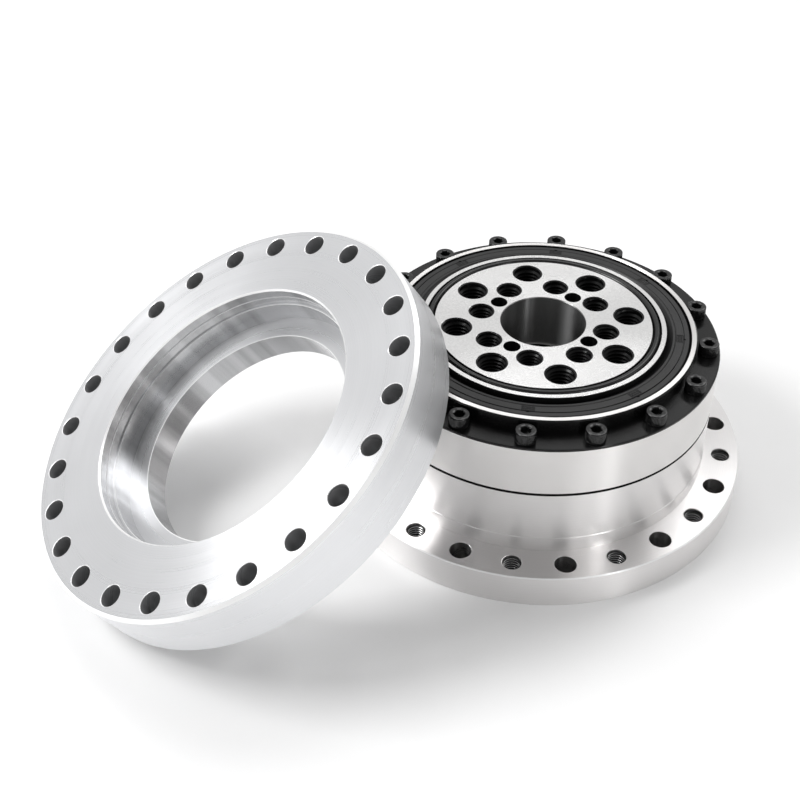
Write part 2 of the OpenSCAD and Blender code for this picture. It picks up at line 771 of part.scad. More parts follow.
module bore_cap() {
    rim = cap_d / 2 - seat_gap;
    color("dimgray")
    translate([0, 0, output_z])
        rotate_extrude()
            polygon([
                [0, 0], [rim - 0.3, 0], [rim, 0.3], [rim, cap_h - 0.3], [rim - 0.3, cap_h],
                [rim - 1.2, cap_h], [rim - 1.4, cap_t], [0, cap_t]
            ]);
}

// Cup with a toothed elliptical rim, a wall that grows round towards the diaphragm, and a
// bolted boss
module flexspline() {
    teeth = [for (i = [0:cup_teeth - 1], p = cup_tooth)
        wave_point(i * 360 / cup_teeth, p[1], p[0])];
    round_out = cup_pitch_r + cup_inner_rise + cup_t;
    color("silver")
    difference() {
        union() {
            translate([0, 0, rim_z])
                linear_extrude(height = rim_w)
                    difference() {
                        polygon(teeth);
                        polygon(wave_loop(cup_inner_rise));
                    }
            loft_ring(wave_loop(cup_inner_rise + cup_t), wave_loop(cup_inner_rise + 0.1),
                wave_loop(cup_inner_rise + cup_t, 0), wave_loop(cup_inner_rise + 0.1, 0),
                rim_z + rim_w - 0.5, boss_z - 1);
            cup_end(round_out + 0.05);
        }
        translate([0, 0, output_z]) {
            ring_array(output_holes, cup_bolt_pcd, output_angle + 180 / output_holes)
                hole(cup_bolt_d + 2 * screw_gap, boss_t + 1, 0);
            ring_array(4, dowel_pcd, output_angle + 360 / output_holes)
                hole(dowel_d, boss_t + 1, 0);
        }
    }
}

module cup_end(out_r) {
    in_r = out_r - cup_t - 0.05;
    turn = 2.2;
    mid_z = boss_z + 1;
    rotate_extrude()
        polygon(concat(
            [[in_r, boss_z - 1.6], [out_r, boss_z - 1.6]],
            [for (a = [0:30:90]) [out_r - turn, mid_z + diaphragm_t - turn] + polar(turn, a)],
            [[boss_d / 2 + 3, mid_z + diaphragm_t], [boss_d / 2, mid_z + diaphragm_t + 1.4],
            [boss_d / 2, output_z - 0.4], [boss_d / 2 - 0.4, output_z],
            [bore_d / 2, output_z], [bore_d / 2, boss_z], [boss_d / 2, boss_z],
            [boss_d / 2 + 2.5, mid_z]],
            [for (a = [90:-30:0]) [in_r - 1, mid_z - 1] + polar(1, a)]
        ));
}

module cup_clamp_ring() {
    color("gray")
    translate([0, 0, boss_z - cup_clamp_t])
        difference() {
            rotate_extrude()
                polygon([
                    [bore_d / 2 + 0.4, 0], [boss_d / 2 - 0.8, 0], [boss_d / 2 - 0.4, 0.4],
                    [boss_d / 2 - 0.4, cup_clamp_t], [bore_d / 2 + 0.4, cup_clamp_t]
                ]);
            ring_array(output_holes, cup_bolt_pcd, output_angle + 180 / output_holes)
                translate([0, 0, -1])
                    cylinder(d = cup_bolt_d + 2 * screw_gap, h = cup_clamp_t + 2);
        }
}

module cup_bolts() {
    color("dimgray")
    translate([0, 0, boss_z - cup_clamp_t])
        ring_array(output_holes, cup_bolt_pcd, output_angle + 180 / output_holes)
            mirror([0, 0, 1])
                socket_screw(cup_bolt_d - 2 * thread_gap, cup_bolt_l, cup_head_d, cup_head_h, 6);
}

module dowel_pins() {
    pin_r = dowel_d / 2 - seat_gap;
    color("gray")
    translate([0, 0, boss_z])
        ring_array(4, dowel_pcd, output_angle + 360 / output_holes)
            rotate_extrude()
                polygon([
                    [0, 0], [pin_r - 0.5, 0], [pin_r, 0.5], [pin_r, dowel_l - 0.5],
                    [pin_r - 0.5, dowel_l], [0, dowel_l]
                ]);
}

// ---------------------------------------------------------------- crossed rollers

module crossed_rollers() {
    r = roller_d / 2;
    half = roller_l / 2;
    color("silver")
    for (i = [0:rollers - 1])
        rotate([0, 0, i * 360 / rollers])
            translate([roller_pcd / 2, 0, roller_z])
                rotate([0, i % 2 == 0 ? 45 : -45, 0])
                    rotate_extrude()
                        polygon([
                            [0, -half], [r - 0.4, -half], [r, 0.4 - half], [r, half - 0.4],
                            [r - 0.4, half], [0, half]
                        ]);
}

module roller_spacers() {
    pitch = PI * roller_pcd / rollers;
    color("ivory")
    for (i = [0:rollers - 1])
        rotate([0, 0, (i + 0.5) * 360 / rollers])
            translate([roller_pcd / 2, 0, roller_z])
                rotate([90, 0, 0])
                    cylinder(d = roller_d * 0.7, h = (pitch - roller_d) * 0.55, center = true);
}

// ---------------------------------------------------------------- wave generator

function groove_arc(from_angle, to_angle) =
    [for (i = [0:groove_steps])
        [ball_rise, wave_z] + polar(race_groove_r, from_angle + (to_angle - from_angle) * i / groove_steps)];

module wave_bearing_outer_race() {
    spread = acos(land_from_ball / race_groove_r);
    half = bearing_w / 2;
    color("silver")
        wave_ring(concat(
            [[bearing_rise, wave_z - half], [bearing_rise, wave_z + half],
            [ball_rise + land_from_ball, wave_z + half]],
            groove_arc(spread, -spread),
            [[ball_rise + land_from_ball, wave_z - half]]));
}

module wave_bearing_inner_race() {
    spread = acos(land_from_ball / race_groove_r);
    half = bearing_w / 2;
    color("silver")
        wave_ring(concat(
            [[bearing_bore_rise, wave_z + half], [bearing_bore_rise, wave_z - half],
            [ball_rise - land_from_ball, wave_z - half]],
            groove_arc(180 + spread, 180 - spread),
            [[ball_rise - land_from_ball, wave_z + half]]));
}

module wave_bearing_balls() {
    color("silver")
    for (i = [0:balls - 1])
        let (p = wave_point((i + 0.5) * 360 / balls, ball_rise))
            translate([p[0], p[1], wave_z])
                sphere(d = ball_d);
}

module wave_bearing_cage() {
    color("saddlebrown")
    difference() {
        translate([0, 0, wave_z - bearing_w / 2 + 0.8])
            linear_extrude(height = bearing_w - 1.6)
                difference() {
                    polygon(wave_loop(ball_rise + cage_half_t));
                    polygon(wave_loop(ball_rise - cage_half_t));
                }
        for (i = [0:balls - 1])
            let (a = (i + 0.5) * 360 / balls, p = wave_point(a, ball_rise))
                translate([p[0], p[1], wave_z])
                    rotate([0, 90, a + tilt(a)])
                        cylinder(d = ball_d + 0.4, h = 4 * cage_half_t, center = true);
    }
}

// Elliptical cam with a keeper shoulder, and a recess with two slots for the coupling
module cam_plug() {
    color("gray")
    difference() {
        union() {
            translate([0, 0, plug_foot_z])
                linear_extrude(height = plug_top_z - plug_foot_z)
                    polygon(wave_loop(plug_rise));
            translate([0, 0, plug_top_z - keeper_t])
                linear_extrude(height = keeper_t)
                    polygon(wave_loop(keeper_rise));
        }
        translate([0, 0, plug_foot_z - 1])
            cylinder(d = plug_bore_d, h = plug_top_z);
        translate([0, 0, plug_foot_z - 1])
            cylinder(d = coupling_d, h = recess_top_z - plug_foot_z + 1);
        translate([0, 0, plug_foot_z - 1 + (recess_top_z - plug_foot_z + 1) / 2])
            cube([2 * lug_reach + 0.6, lug_w + 0.2, recess_top_z - plug_foot_z + 1], center = true);
        translate([0, 0, plug_foot_z])
            ring_array(plate_screws, 2 * plate_screw_r, 180 / plate_screws)
                mirror([0, 0, 1])
                    hole(plate_screw_d, plate_screw_l + 1, 0);
    }
}

module retainer_plate() {
    sink = (plate_head_d - plate_screw_d) / 2;
    color("darkgray")
    translate([0, 0, plate_foot_z])
        difference() {
            linear_extrude(height = keeper_t)
                polygon(wave_loop(keeper_rise));
            translate([0, 0, -1])
                cylinder(d = plug_bore_d, h = keeper_t + 2);
            ring_array(plate_screws, 2 * plate_screw_r, 180 / plate_screws) {
                translate([0, 0, -1])
                    cylinder(d = plate_screw_d + 0.2, h = keeper_t + 2);
                translate([0, 0, -1])
                    cylinder(d1 = plate_head_d + 2.2, d2 = plate_screw_d + 0.2, h = sink + 1);
            }
        }
}

module retainer_screws() {
    color("dimgray")
    translate([0, 0, plate_foot_z])
        ring_array(plate_screws, 2 * plate_screw_r, 180 / plate_screws)
            mirror([0, 0, 1])
                flat_screw(plate_screw_d - 2 * thread_gap, plate_screw_l, plate_head_d, 2);
}

// Sliding insert of the coupling: outer lugs run in the cam plug, inner slots on the hub
module coupling_insert() {
    color("sienna")
    translate([0, 0, insert_z])
        difference() {
            union() {
                cylinder(d = coupling_d - 0.4, h = insert_t);
                translate([0, 0, insert_t / 2])
                    cube([2 * lug_reach, lug_w, insert_t], center = true);
            }
            translate([0, 0, -1])
                cylinder(d = insert_inner_d, h = insert_t + 2);
            translate([0, 0, insert_t / 2])
                cube([lug_w + 0.2, 2 * hub_lug_reach + 0.4, insert_t + 2], center = true);
        }
}

module input_hub() {
    barrel_r = hub_barrel_d / 2;
    bore_r = input_bore_d / 2;
    key_reach = bore_r + key_depth;
    color("lightsteelblue")
    difference() {
        union() {
            rotate_extrude()
                polygon([
                    [bore_r, hub_foot_z + 0.4], [bore_r + 0.4, hub_foot_z],
                    [barrel_r - 0.6, hub_foot_z], [barrel_r, hub_foot_z + 0.6],
                    [barrel_r, snap_z - 0.1], [snap_groove_r, snap_z - 0.1],
                    [snap_groove_r, snap_z + snap_t + 0.1], [barrel_r, snap_z + snap_t + 0.1],
                    [barrel_r, hub_top_z], [bore_r, hub_top_z]
                ]);
            translate([0, 0, insert_z + 0.2])
                intersection() {
                    translate([-lug_w / 2, -hub_lug_reach, 0])
                        cube([lug_w, 2 * hub_lug_reach, insert_t - 0.4]);
                    difference() {
                        cylinder(r = hub_lug_reach, h = insert_t - 0.4);
                        translate([0, 0, -1])
                            cylinder(r = barrel_r - 1, h = insert_t + 2);
                    }
                }
        }
        translate([-key_w / 2, 0, hub_foot_z - 1])
            cube([key_w, key_reach, hub_top_z - hub_foot_z + 2]);
    }
}

module thrust_washer() {
    color("silver")
    translate([0, 0, plug_top_z + 0.1])
        difference() {
            cylinder(d = coupling_d - 3, h = washer_t);
            translate([0, 0, -1])
                cylinder(d = hub_barrel_d + 0.3, h = washer_t + 2);
        }
}

module hub_snap_ring() {
    outer_r = snap_groove_r + 3;
    color("dimgray")
    translate([0, 0, snap_z])
        linear_extrude(height = snap_t)
            difference() {
                union() {
                    circle(r = outer_r);
                    for (side = [-1, 1])
                        rotate([0, 0, side * 10])
                            translate([outer_r - 0.6, 0])
                                circle(r = 1.9, $fn = 32);
                }
                circle(r = snap_groove_r + 0.05);
                polygon([[0, 0], polar(2 * outer_r, -5), polar(2 * outer_r, 5)]);
                for (side = [-1, 1])
                    rotate([0, 0, side * 10])
                        translate([outer_r - 0.6, 0])
                            circle(r = 0.8, $fn = 24);
            }
}

// ---------------------------------------------------------------- adapter flange

// The adapter's face is at its own level zero and its body lies below
module adapter_body() {
    rim = adapter_rim_r;
    spigot_r = register_d / 2 - 2 * seat_gap;
    pilot_r = pilot_d / 2;
    difference() {
        rotate_extrude($fn = 180)
            polygon([
                [pilot_r + 0.7, 0], [rim - adapter_chamfer, 0], [rim, -adapter_chamfer],
                [rim, edge_break - adapter_t], [rim - edge_break, -adapter_t],
                [spigot_r, -adapter_t], [spigot_r, edge_break - adapter_depth],
                [spigot_r - edge_break, -adapter_depth], [relief_d / 2, -adapter_depth],
                [relief_d / 2, -relief_from], [adapter_bore_d / 2, -relief_from],
                [adapter_bore_d / 2, -step_depth], [step_d / 2, -step_depth],
                [step_d / 2, -pilot_depth], [pilot_r, -pilot_depth], [pilot_r, -5],
                [pilot_r + 0.5, -4.8], [pilot_r + 0.5, -4.4], [pilot_r, -4.2], [pilot_r, -0.7]
            ]);
        ring_array(2 * flange_holes, flange_pcd, adapter_hole_angle)
            hole(adapter_hole_d, adapter_t + 1, 0.3);
    }
}

module adapter_flange() {
    color("gainsboro")
    translate([adapter_out * cos(adapter_bearing), adapter_out * sin(adapter_bearing), adapter_z])
        rotate([0, adapter_tilt, adapter_facing])
            adapter_body();
}

// ---------------------------------------------------------------- nodes

base_flange();
circular_spline();
spline_screw_set();
bearing_outer_ring();
clamp_screw_set();
base_o_ring();
oil_seal();
garter_spring();
roller_plug();
roller_plug_pin();
output_flange();
face_o_ring();
bore_cap();
flexspline();
cup_clamp_ring();
cup_bolts();
dowel_pins();
crossed_rollers();
roller_spacers();
cam_plug();
wave_bearing_inner_race();
wave_bearing_balls();
wave_bearing_cage();
wave_bearing_outer_race();
retainer_plate();
retainer_screws();
coupling_insert();
input_hub();
thrust_washer();
hub_snap_ring();
adapter_flange();
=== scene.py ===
"""Strain wave gear unit with its loose adapter flange, dressed and lit in a plain studio.

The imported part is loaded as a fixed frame. Its nodes keep their meshes and get their
finishes here; threads, knurls and moulded ribs are added as new pieces that ride on the
same bodies. All lengths are in metres.
"""

import logging
from dataclasses import dataclass, replace
from enum import Enum
from math import cos, pi, radians, sin

import bpy
import numpy as np
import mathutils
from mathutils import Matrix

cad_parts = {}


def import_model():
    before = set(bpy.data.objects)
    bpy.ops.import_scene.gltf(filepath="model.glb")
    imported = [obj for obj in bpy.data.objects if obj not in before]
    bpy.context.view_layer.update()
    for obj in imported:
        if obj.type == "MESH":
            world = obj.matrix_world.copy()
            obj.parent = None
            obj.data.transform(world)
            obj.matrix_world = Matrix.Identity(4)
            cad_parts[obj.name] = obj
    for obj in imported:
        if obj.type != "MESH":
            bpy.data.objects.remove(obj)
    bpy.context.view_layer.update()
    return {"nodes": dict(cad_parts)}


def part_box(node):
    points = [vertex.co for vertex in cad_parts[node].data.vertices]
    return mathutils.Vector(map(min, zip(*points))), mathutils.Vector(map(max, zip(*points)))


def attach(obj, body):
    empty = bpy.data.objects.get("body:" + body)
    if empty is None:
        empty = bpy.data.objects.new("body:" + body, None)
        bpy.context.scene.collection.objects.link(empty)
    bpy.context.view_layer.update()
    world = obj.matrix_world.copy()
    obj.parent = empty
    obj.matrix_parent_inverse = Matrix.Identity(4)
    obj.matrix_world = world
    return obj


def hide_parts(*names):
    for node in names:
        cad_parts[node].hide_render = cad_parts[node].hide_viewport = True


LOG = logging.getLogger("strain_wave_gear")
MM = 0.001
# Height of a thread's ridge, as a share of the pitch
RIDGE = 0.54
# Limits that most of a noise's values lie between
NOISE_LOW, NOISE_HIGH = 0.3, 0.7
# Depth of a ground surface's grain
GROUND_GRAIN = 0.002 * MM
# Radius of the small caps that close a turned surface at its axis
PINHOLE = 0.01 * MM

Span = tuple[float, float]
Vector = tuple[float, float, float]
Socket = bpy.types.NodeSocket
Material = bpy.types.Material
# Corner positions, shape (n, 3), and corner numbers of four-sided faces, shape (m, 4)
Surface = tuple[np.ndarray, np.ndarray]


class Body(Enum):
    """The bodies that new pieces ride on."""

    HOUSING = "housing"
    OUTPUT = "output"


class Slot(Enum):
    """The material slots of the part's record, by name."""

    ALUMINIUM = "machined_aluminium"
    BLACKENED = "blackened_bearing_steel"
    SCREW = "black_screw_steel"
    RUBBER = "seal_rubber"


def foot(node: str) -> float:
    """Height of a CAD node's lowest point."""
    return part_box(node)[0].z


def top(node: str) -> float:
    """Height of a CAD node's highest point."""
    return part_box(node)[1].z


def towards(bearing: float, climb: float) -> Vector:
    """Unit vector with a bearing about Z from X and an elevation, both in degrees."""
    b, c = radians(bearing), radians(climb)
    return cos(b) * cos(c), sin(b) * cos(c), sin(c)


def rgba(tone: float | Vector, share: float | Vector = 1.0) -> tuple[float, ...]:
    """Opaque colour: a grey level or a colour, times a share for all or each of its parts."""
    return *(np.ones(3) * tone * share).tolist(), 1.0


# ---------- meshes


def outward(points: np.ndarray, faces: np.ndarray) -> np.ndarray:
    """Turn the faces of a closed surface so that they point outwards.

    The signed volume is a sixth of the sum over triangles of a . (b x c). Where it is
    negative, every face is reversed.

    Args:
        points: Corner positions, shape (n, 3).
        faces: Corner numbers of four-sided faces, shape (m, 4).

    Returns:
        The faces, reversed where that is needed.
    """
    a, b, c, d = (points[faces[:, k]] for k in range(4))
    volume = np.einsum("ij,ij->i", a, np.cross(b, c)).sum()
    volume += np.einsum("ij,ij->i", a, np.cross(c, d)).sum()
    return faces[:, ::-1] if volume < 0 else faces


def carried_loop(rings: np.ndarray) -> Surface:
    """Skin a loop of points that is carried along a path, and close its two ends.

    Ring i and ring i + 1 are joined point by point: quad (i, j) has the corners (i, j),
    (i, j + 1), (i + 1, j + 1) and (i + 1, j), where the last point is followed by the
    first. The first and the last ring get a fan of quads.

    Args:
        rings: Points, shape (steps, loop, 3), with an even loop length.

    Returns:
        The closed surface.
    """
    steps, loop, _ = rings.shape
    i, j = np.meshgrid(np.arange(steps - 1), np.arange(loop), indexing="ij")
    here, beside = i * loop + j, i * loop + (j + 1) % loop
    faces = np.stack([here, beside, beside + loop, here + loop], -1).reshape(-1, 4)
    k = np.arange(loop // 2 - 1)
    cap = np.stack([k, loop - 1 - k, loop - 2 - k, k + 1], -1)
    faces = np.vstack([faces, cap, cap[:, ::-1] + (steps - 1) * loop])
    points = rings.reshape(-1, 3)
    return points, outward(points, faces)


def wound(angle: np.ndarray, radii: np.ndarray, level: np.ndarray) -> np.ndarray:
    """Rings of points about Z: (radius * cos(angle), radius * sin(angle), level).

    Args:
        angle: Turn angle of each ring, shape (steps,).
        radii: Radii, shape (loop,) or (steps, loop).
        level: Heights, shape (loop,) or (steps, loop).

    Returns:
        Points, shape (steps, loop, 3).
    """
    radii, level, angle = np.broadcast_arrays(radii, level, angle[:, None])
    return np.stack([radii * np.cos(angle), radii * np.sin(angle), level], -1)


def copied(surface: Surface, moves: np.ndarray) -> Surface:
    """Repeat a surface at several places.

    Args:
        surface: Surface to repeat.
        moves: Rotation and shift of each copy, shape (count, 3, 4).

    Returns:
        All the copies as one surface.
    """
    points, faces = surface
    placed = np.einsum("kij,nj->kni", moves[:, :, :3], points) + moves[:, None, :, 3]
    shifts = np.arange(len(moves))[:, None, None] * len(points)
    return placed.reshape(-1, 3), (faces[None] + shifts).reshape(-1, 4)


@dataclass(frozen=True)
class Circle:
    """Places at equal steps on a circle about Z.

    Attributes:
        radius: Radius of the circle.
        first: Angle of the first place, in degrees.
        count: Number of places.
    """

    radius: float
    first: float
    count: int

    def moves(self, height: float = 0.0) -> np.ndarray:
        """The places at a height, each turned to face outwards.

        Place k has the angle first + k * 360 / count and the shift (radius * cos,
        radius * sin, height).

        Args:
            height: Height of the circle.

        Returns:
            Rotations and shifts, shape (count, 3, 4).
        """
        count, r = self.count, self.radius
        angle = np.radians(self.first + np.arange(count) * 360.0 / count)
        c, s, zero, one = np.cos(angle), np.sin(angle), np.zeros(count), np.ones(count)
        rows = [[c, -s, zero, r * c], [s, c, zero, r * s], [zero, zero, one, zero + height]]
        return np.stack([np.stack(row, -1) for row in rows], 1)


def new_piece(
    name: str, surface: Surface, material: Material, body: Body, crease: float = 40.0
) -> bpy.types.Object:
    """Put a surface into the scene as a piece that rides on a body.

    Args:
        name: Name of the piece.
        surface: Its shape, in place at rest.
        material: Finish of the piece.
        body: Body that the piece moves with.
        crease: Angle in degrees above which an edge is sharp.

    Returns:
        The new object.
    """
    points, faces = surface
    mesh = bpy.data.meshes.new(name)
    mesh.vertices.add(len(points))
    mesh.vertices.foreach_set("co", points.astype(np.float32).ravel())
    mesh.loops.add(faces.size)
    mesh.loops.foreach_set("vertex_index", faces.astype(np.int32).ravel())
    mesh.polygons.add(len(faces))
    mesh.polygons.foreach_set("loop_start", np.arange(0, faces.size, 4, dtype=np.int32))
    mesh.update(calc_edges=True)
    mesh.validate()
    mesh.shade_smooth()
    mesh.set_sharp_from_angle(angle=radians(crease))
    mesh.materials.append(material)
    piece = bpy.data.objects.new(name, mesh)
    bpy.context.scene.collection.objects.link(piece)
    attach(piece, body.value)
    LOG.info("%s: %d faces, rides on %s", name, len(faces), body.value)
    return piece


# ---------- finishes


@dataclass(frozen=True)
class Axis:
    """A turning axis: a point on it, and the tilt and heading of its direction.

    Attributes:
        centre: A point on the axis.
        tilt: Angle of the axis from Z, in radians.
        heading: Direction that the axis leans to, in radians about Z.
    """

    centre: Vector = (0.0, 0.0, 0.0)
    tilt: float = 0.0
    heading: float = 0.0

    def direction(self) -> Vector:
        """Unit vector along the axis."""
        lean = sin(self.tilt)
        return lean * cos(self.heading), lean * sin(self.heading), cos(self.tilt)


UNIT_AXIS = Axis()
# A point on the leaning adapter's axis, with the tilt and heading of its spigot
ADAPTER_AXIS = Axis((-125.777 * MM, -68.291 * MM, 69.650 * MM), radians(32.203), radians(209.8))


class Nodes:
    """A node tree, with short calls that each add one node."""

    def __init__(self, tree: bpy.types.NodeTree) -> None:
        """Take a tree over."""
        self.tree = tree

    def feed(self, target: Socket, value: object) -> None:
        """Give an input a link, a number or a colour.

        Args:
            target: Input socket.
            value: A socket, a number, or a sequence of numbers.
        """
        if isinstance(value, Socket):
            self.tree.links.new(value, target)
        else:
            target.default_value = value

    def node(self, kind: str, inputs: dict[int | str, object], **options: str) -> bpy.types.Node:
        """Add a node.

        Args:
            kind: Type of the node, without its prefix.
            inputs: What to feed its inputs, by their name or number.
            options: What to set its options to.

        Returns:
            The node.
        """
        node = self.tree.nodes.new("ShaderNode" + kind)
        for name, option in options.items():
            setattr(node, name, option)
        for name, value in inputs.items():
            self.feed(node.inputs[name], value)
        return node

    def math(self, operation: str, a: object, b: object = 0.0) -> Socket:
        """The value of a Math node."""
        return self.node("Math", {0: a, 1: b}, operation=operation).outputs[0]

    def times(self, a: object, b: object) -> Socket:
        """One value times another."""
        return self.math("MULTIPLY", a, b)

    def plus(self, a: object, b: object) -> Socket:
        """One value added to another."""
        return self.math("ADD", a, b)

    def length(self, x: object, y: object) -> Socket:
        """Length of a flat vector."""
        return self.math("SQRT", self.plus(self.times(x, x), self.times(y, y)))

    def vector(self, operation: str, a: object, b: object = (0.0, 0.0, 0.0)) -> Socket:
        """The vector of a Vector Math node."""
        return self.node("VectorMath", {0: a, 1: b}, operation=operation).outputs["Vector"]

    def dot(self, a: object, b: object) -> Socket:
        """The dot product of two vectors."""
        return self.node("VectorMath", {0: a, 1: b}, operation="DOT_PRODUCT").outputs["Value"]

    def split(self, vector: Socket) -> tuple[Socket, ...]:
        """The three parts of a vector."""
        return tuple(self.node("SeparateXYZ", {0: vector}).outputs)

    def noise(
        self, where: object, scale: float, detail: float, rough: float = 0.5, lines: bool = False
    ) -> Socket:
        """The value of a Noise Texture, about 0.5 on average.

        Args:
            where: Point, or a single number for a pattern of lines.
            scale: Scale of the noise, per metre.
            detail: Number of finer layers.
            rough: Strength of the finer layers.
            lines: True if the place is a single number.

        Returns:
            The noise value's socket.
        """
        place, size = ("W", "1D") if lines else ("Vector", "3D")
        inputs = {place: where, "Scale": scale, "Detail": detail, "Roughness": rough}
        return self.node("TexNoise", inputs, noise_dimensions=size).outputs["Fac"]

    def span(
        self,
        value: object,
        low: float,
        high: float,
        to_low: float = 0.0,
        to_high: float = 1.0,
        shape: str = "LINEAR",
    ) -> Socket:
        """Map a value from one span to another, with its ends kept.

        Args:
            value: Value to map.
            low: Value that becomes to_low.
            high: Value that becomes to_high.
            to_low: First end of the result.
            to_high: Second end of the result.
            shape: How the result runs from end to end.

        Returns:
            The mapped value's socket.
        """
        ends = {"From Min": low, "From Max": high, "To Min": to_low, "To Max": to_high}
        inputs = {"Value": value, **ends}
        return self.node("MapRange", inputs, interpolation_type=shape).outputs["Result"]

    def sway(self, noise: object, low: float, high: float) -> Socket:
        """Map nearly the whole of a noise's range to a span."""
        return self.span(noise, NOISE_LOW, NOISE_HIGH, low, high)

    def within(self, value: object, low: float, high: float, soft: float = 0.02 * MM) -> Socket:
        """Mark where a value lies between two limits.

        Args:
            value: Value to test.
            low: Lower limit.
            high: Upper limit.
            soft: Half width of the soft edge at each limit.

        Returns:
            A socket that is 1 between the limits and 0 outside.
        """
        rise = self.span(value, low - soft, low + soft)
        return self.times(rise, self.span(value, high - soft, high + soft, 1.0, 0.0))

    def mix(self, factor: object, a: object, b: object) -> Socket:
        """Mix two colours by a factor, in the Mix node's colour sockets 6, 7 and 2."""
        return self.node("Mix", {0: factor, 6: a, 7: b}, data_type="RGBA").outputs[2]

    def blend(self, factor: object, a: float, b: float) -> Socket:
        """a where the factor is 0 and b where it is 1."""
        return self.span(factor, 0.0, 1.0, a, b)


class Graph(Nodes):
    """A material's node tree round one shader, with patterns centred on an axis."""

    def __init__(self, name: str, axis: Axis = UNIT_AXIS) -> None:
        """Start a material.

        Args:
            name: Name of the material.
            axis: Turning axis that the patterns follow.
        """
        self.material = bpy.data.materials.new(name)
        self.material.use_nodes = True
        super().__init__(self.material.node_tree)
        self.tree.nodes.clear()
        self.shader = self.node("BsdfPrincipled", {})
        self.node("OutputMaterial", {"Surface": self.shader.outputs["BSDF"]})
        self.axis = axis
        self.place = self.node("TexCoord", {}).outputs["Object"]
        self.point = self._centred_point()
        x, y, self.height = self.split(self.point)
        self.radius = self.length(x, y)

    def _centred_point(self) -> Socket:
        """Object coordinates, moved and turned so that the axis lies along Z."""
        turn = (0.0, self.axis.tilt, self.axis.heading)
        inputs = {"Vector": self.place, "Location": self.axis.centre, "Rotation": turn}
        return self.node("Mapping", inputs, vector_type="TEXTURE").outputs["Vector"]

    def set(self, **values: object) -> None:
        """Feed sockets of the shader by their names, where base is its base colour."""
        names = {"ior": "IOR", "base": "Base Color"}
        for name, value in values.items():
            self.feed(self.shader.inputs[names.get(name, name.title())], value)

    def bump(self, height: object, depth: float) -> None:
        """Give the shader a bump of a depth in metres."""
        inputs = {"Strength": 1.0, "Distance": depth, "Height": height}
        self.set(normal=self.node("Bump", inputs).outputs["Normal"])

    def turned(self, amount: float) -> None:
        """Stretch highlights across the turning lines.

        The lines run along the cross product of the axis and the point, so the tangent is
        that product, and a quarter turn of it stretches the highlight across the lines.

        Args:
            amount: Anisotropy, from 0 to 1.
        """
        arm = self.vector("SUBTRACT", self.place, self.axis.centre)
        along = self.vector("CROSS_PRODUCT", self.axis.direction(), arm)
        spaces = {"convert_from": "OBJECT", "convert_to": "WORLD"}
        turn = self.node("VectorTransform", {0: along}, vector_type="VECTOR", **spaces)
        self.set(tangent=self.vector("NORMALIZE", turn.outputs[0]), anisotropic=amount)
        self.shader.inputs["Anisotropic Rotation"].default_value = 0.25

    def facing(self) -> Socket:
        """How far the surface faces along the axis: 1 on end faces and 0 on barrels."""
        normal = self.node("NewGeometry", {}).outputs["True Normal"]
        return self.math("ABSOLUTE", self.dot(normal, self.axis.direction()))

    def lathe_lines(self, scale: float) -> Socket:
        """Turning lines: noise along radius plus height, so rings on faces and on barrels."""
        return self.noise(self.plus(self.radius, self.height), scale, 3.0, 0.6, lines=True)


@dataclass(frozen=True)
class Finish:
    """A finish that builds one material.

    Attributes:
        name: Name of the material.
    """

    name: str

    def make(self) -> Material:
        """Build the material."""
        raise NotImplementedError


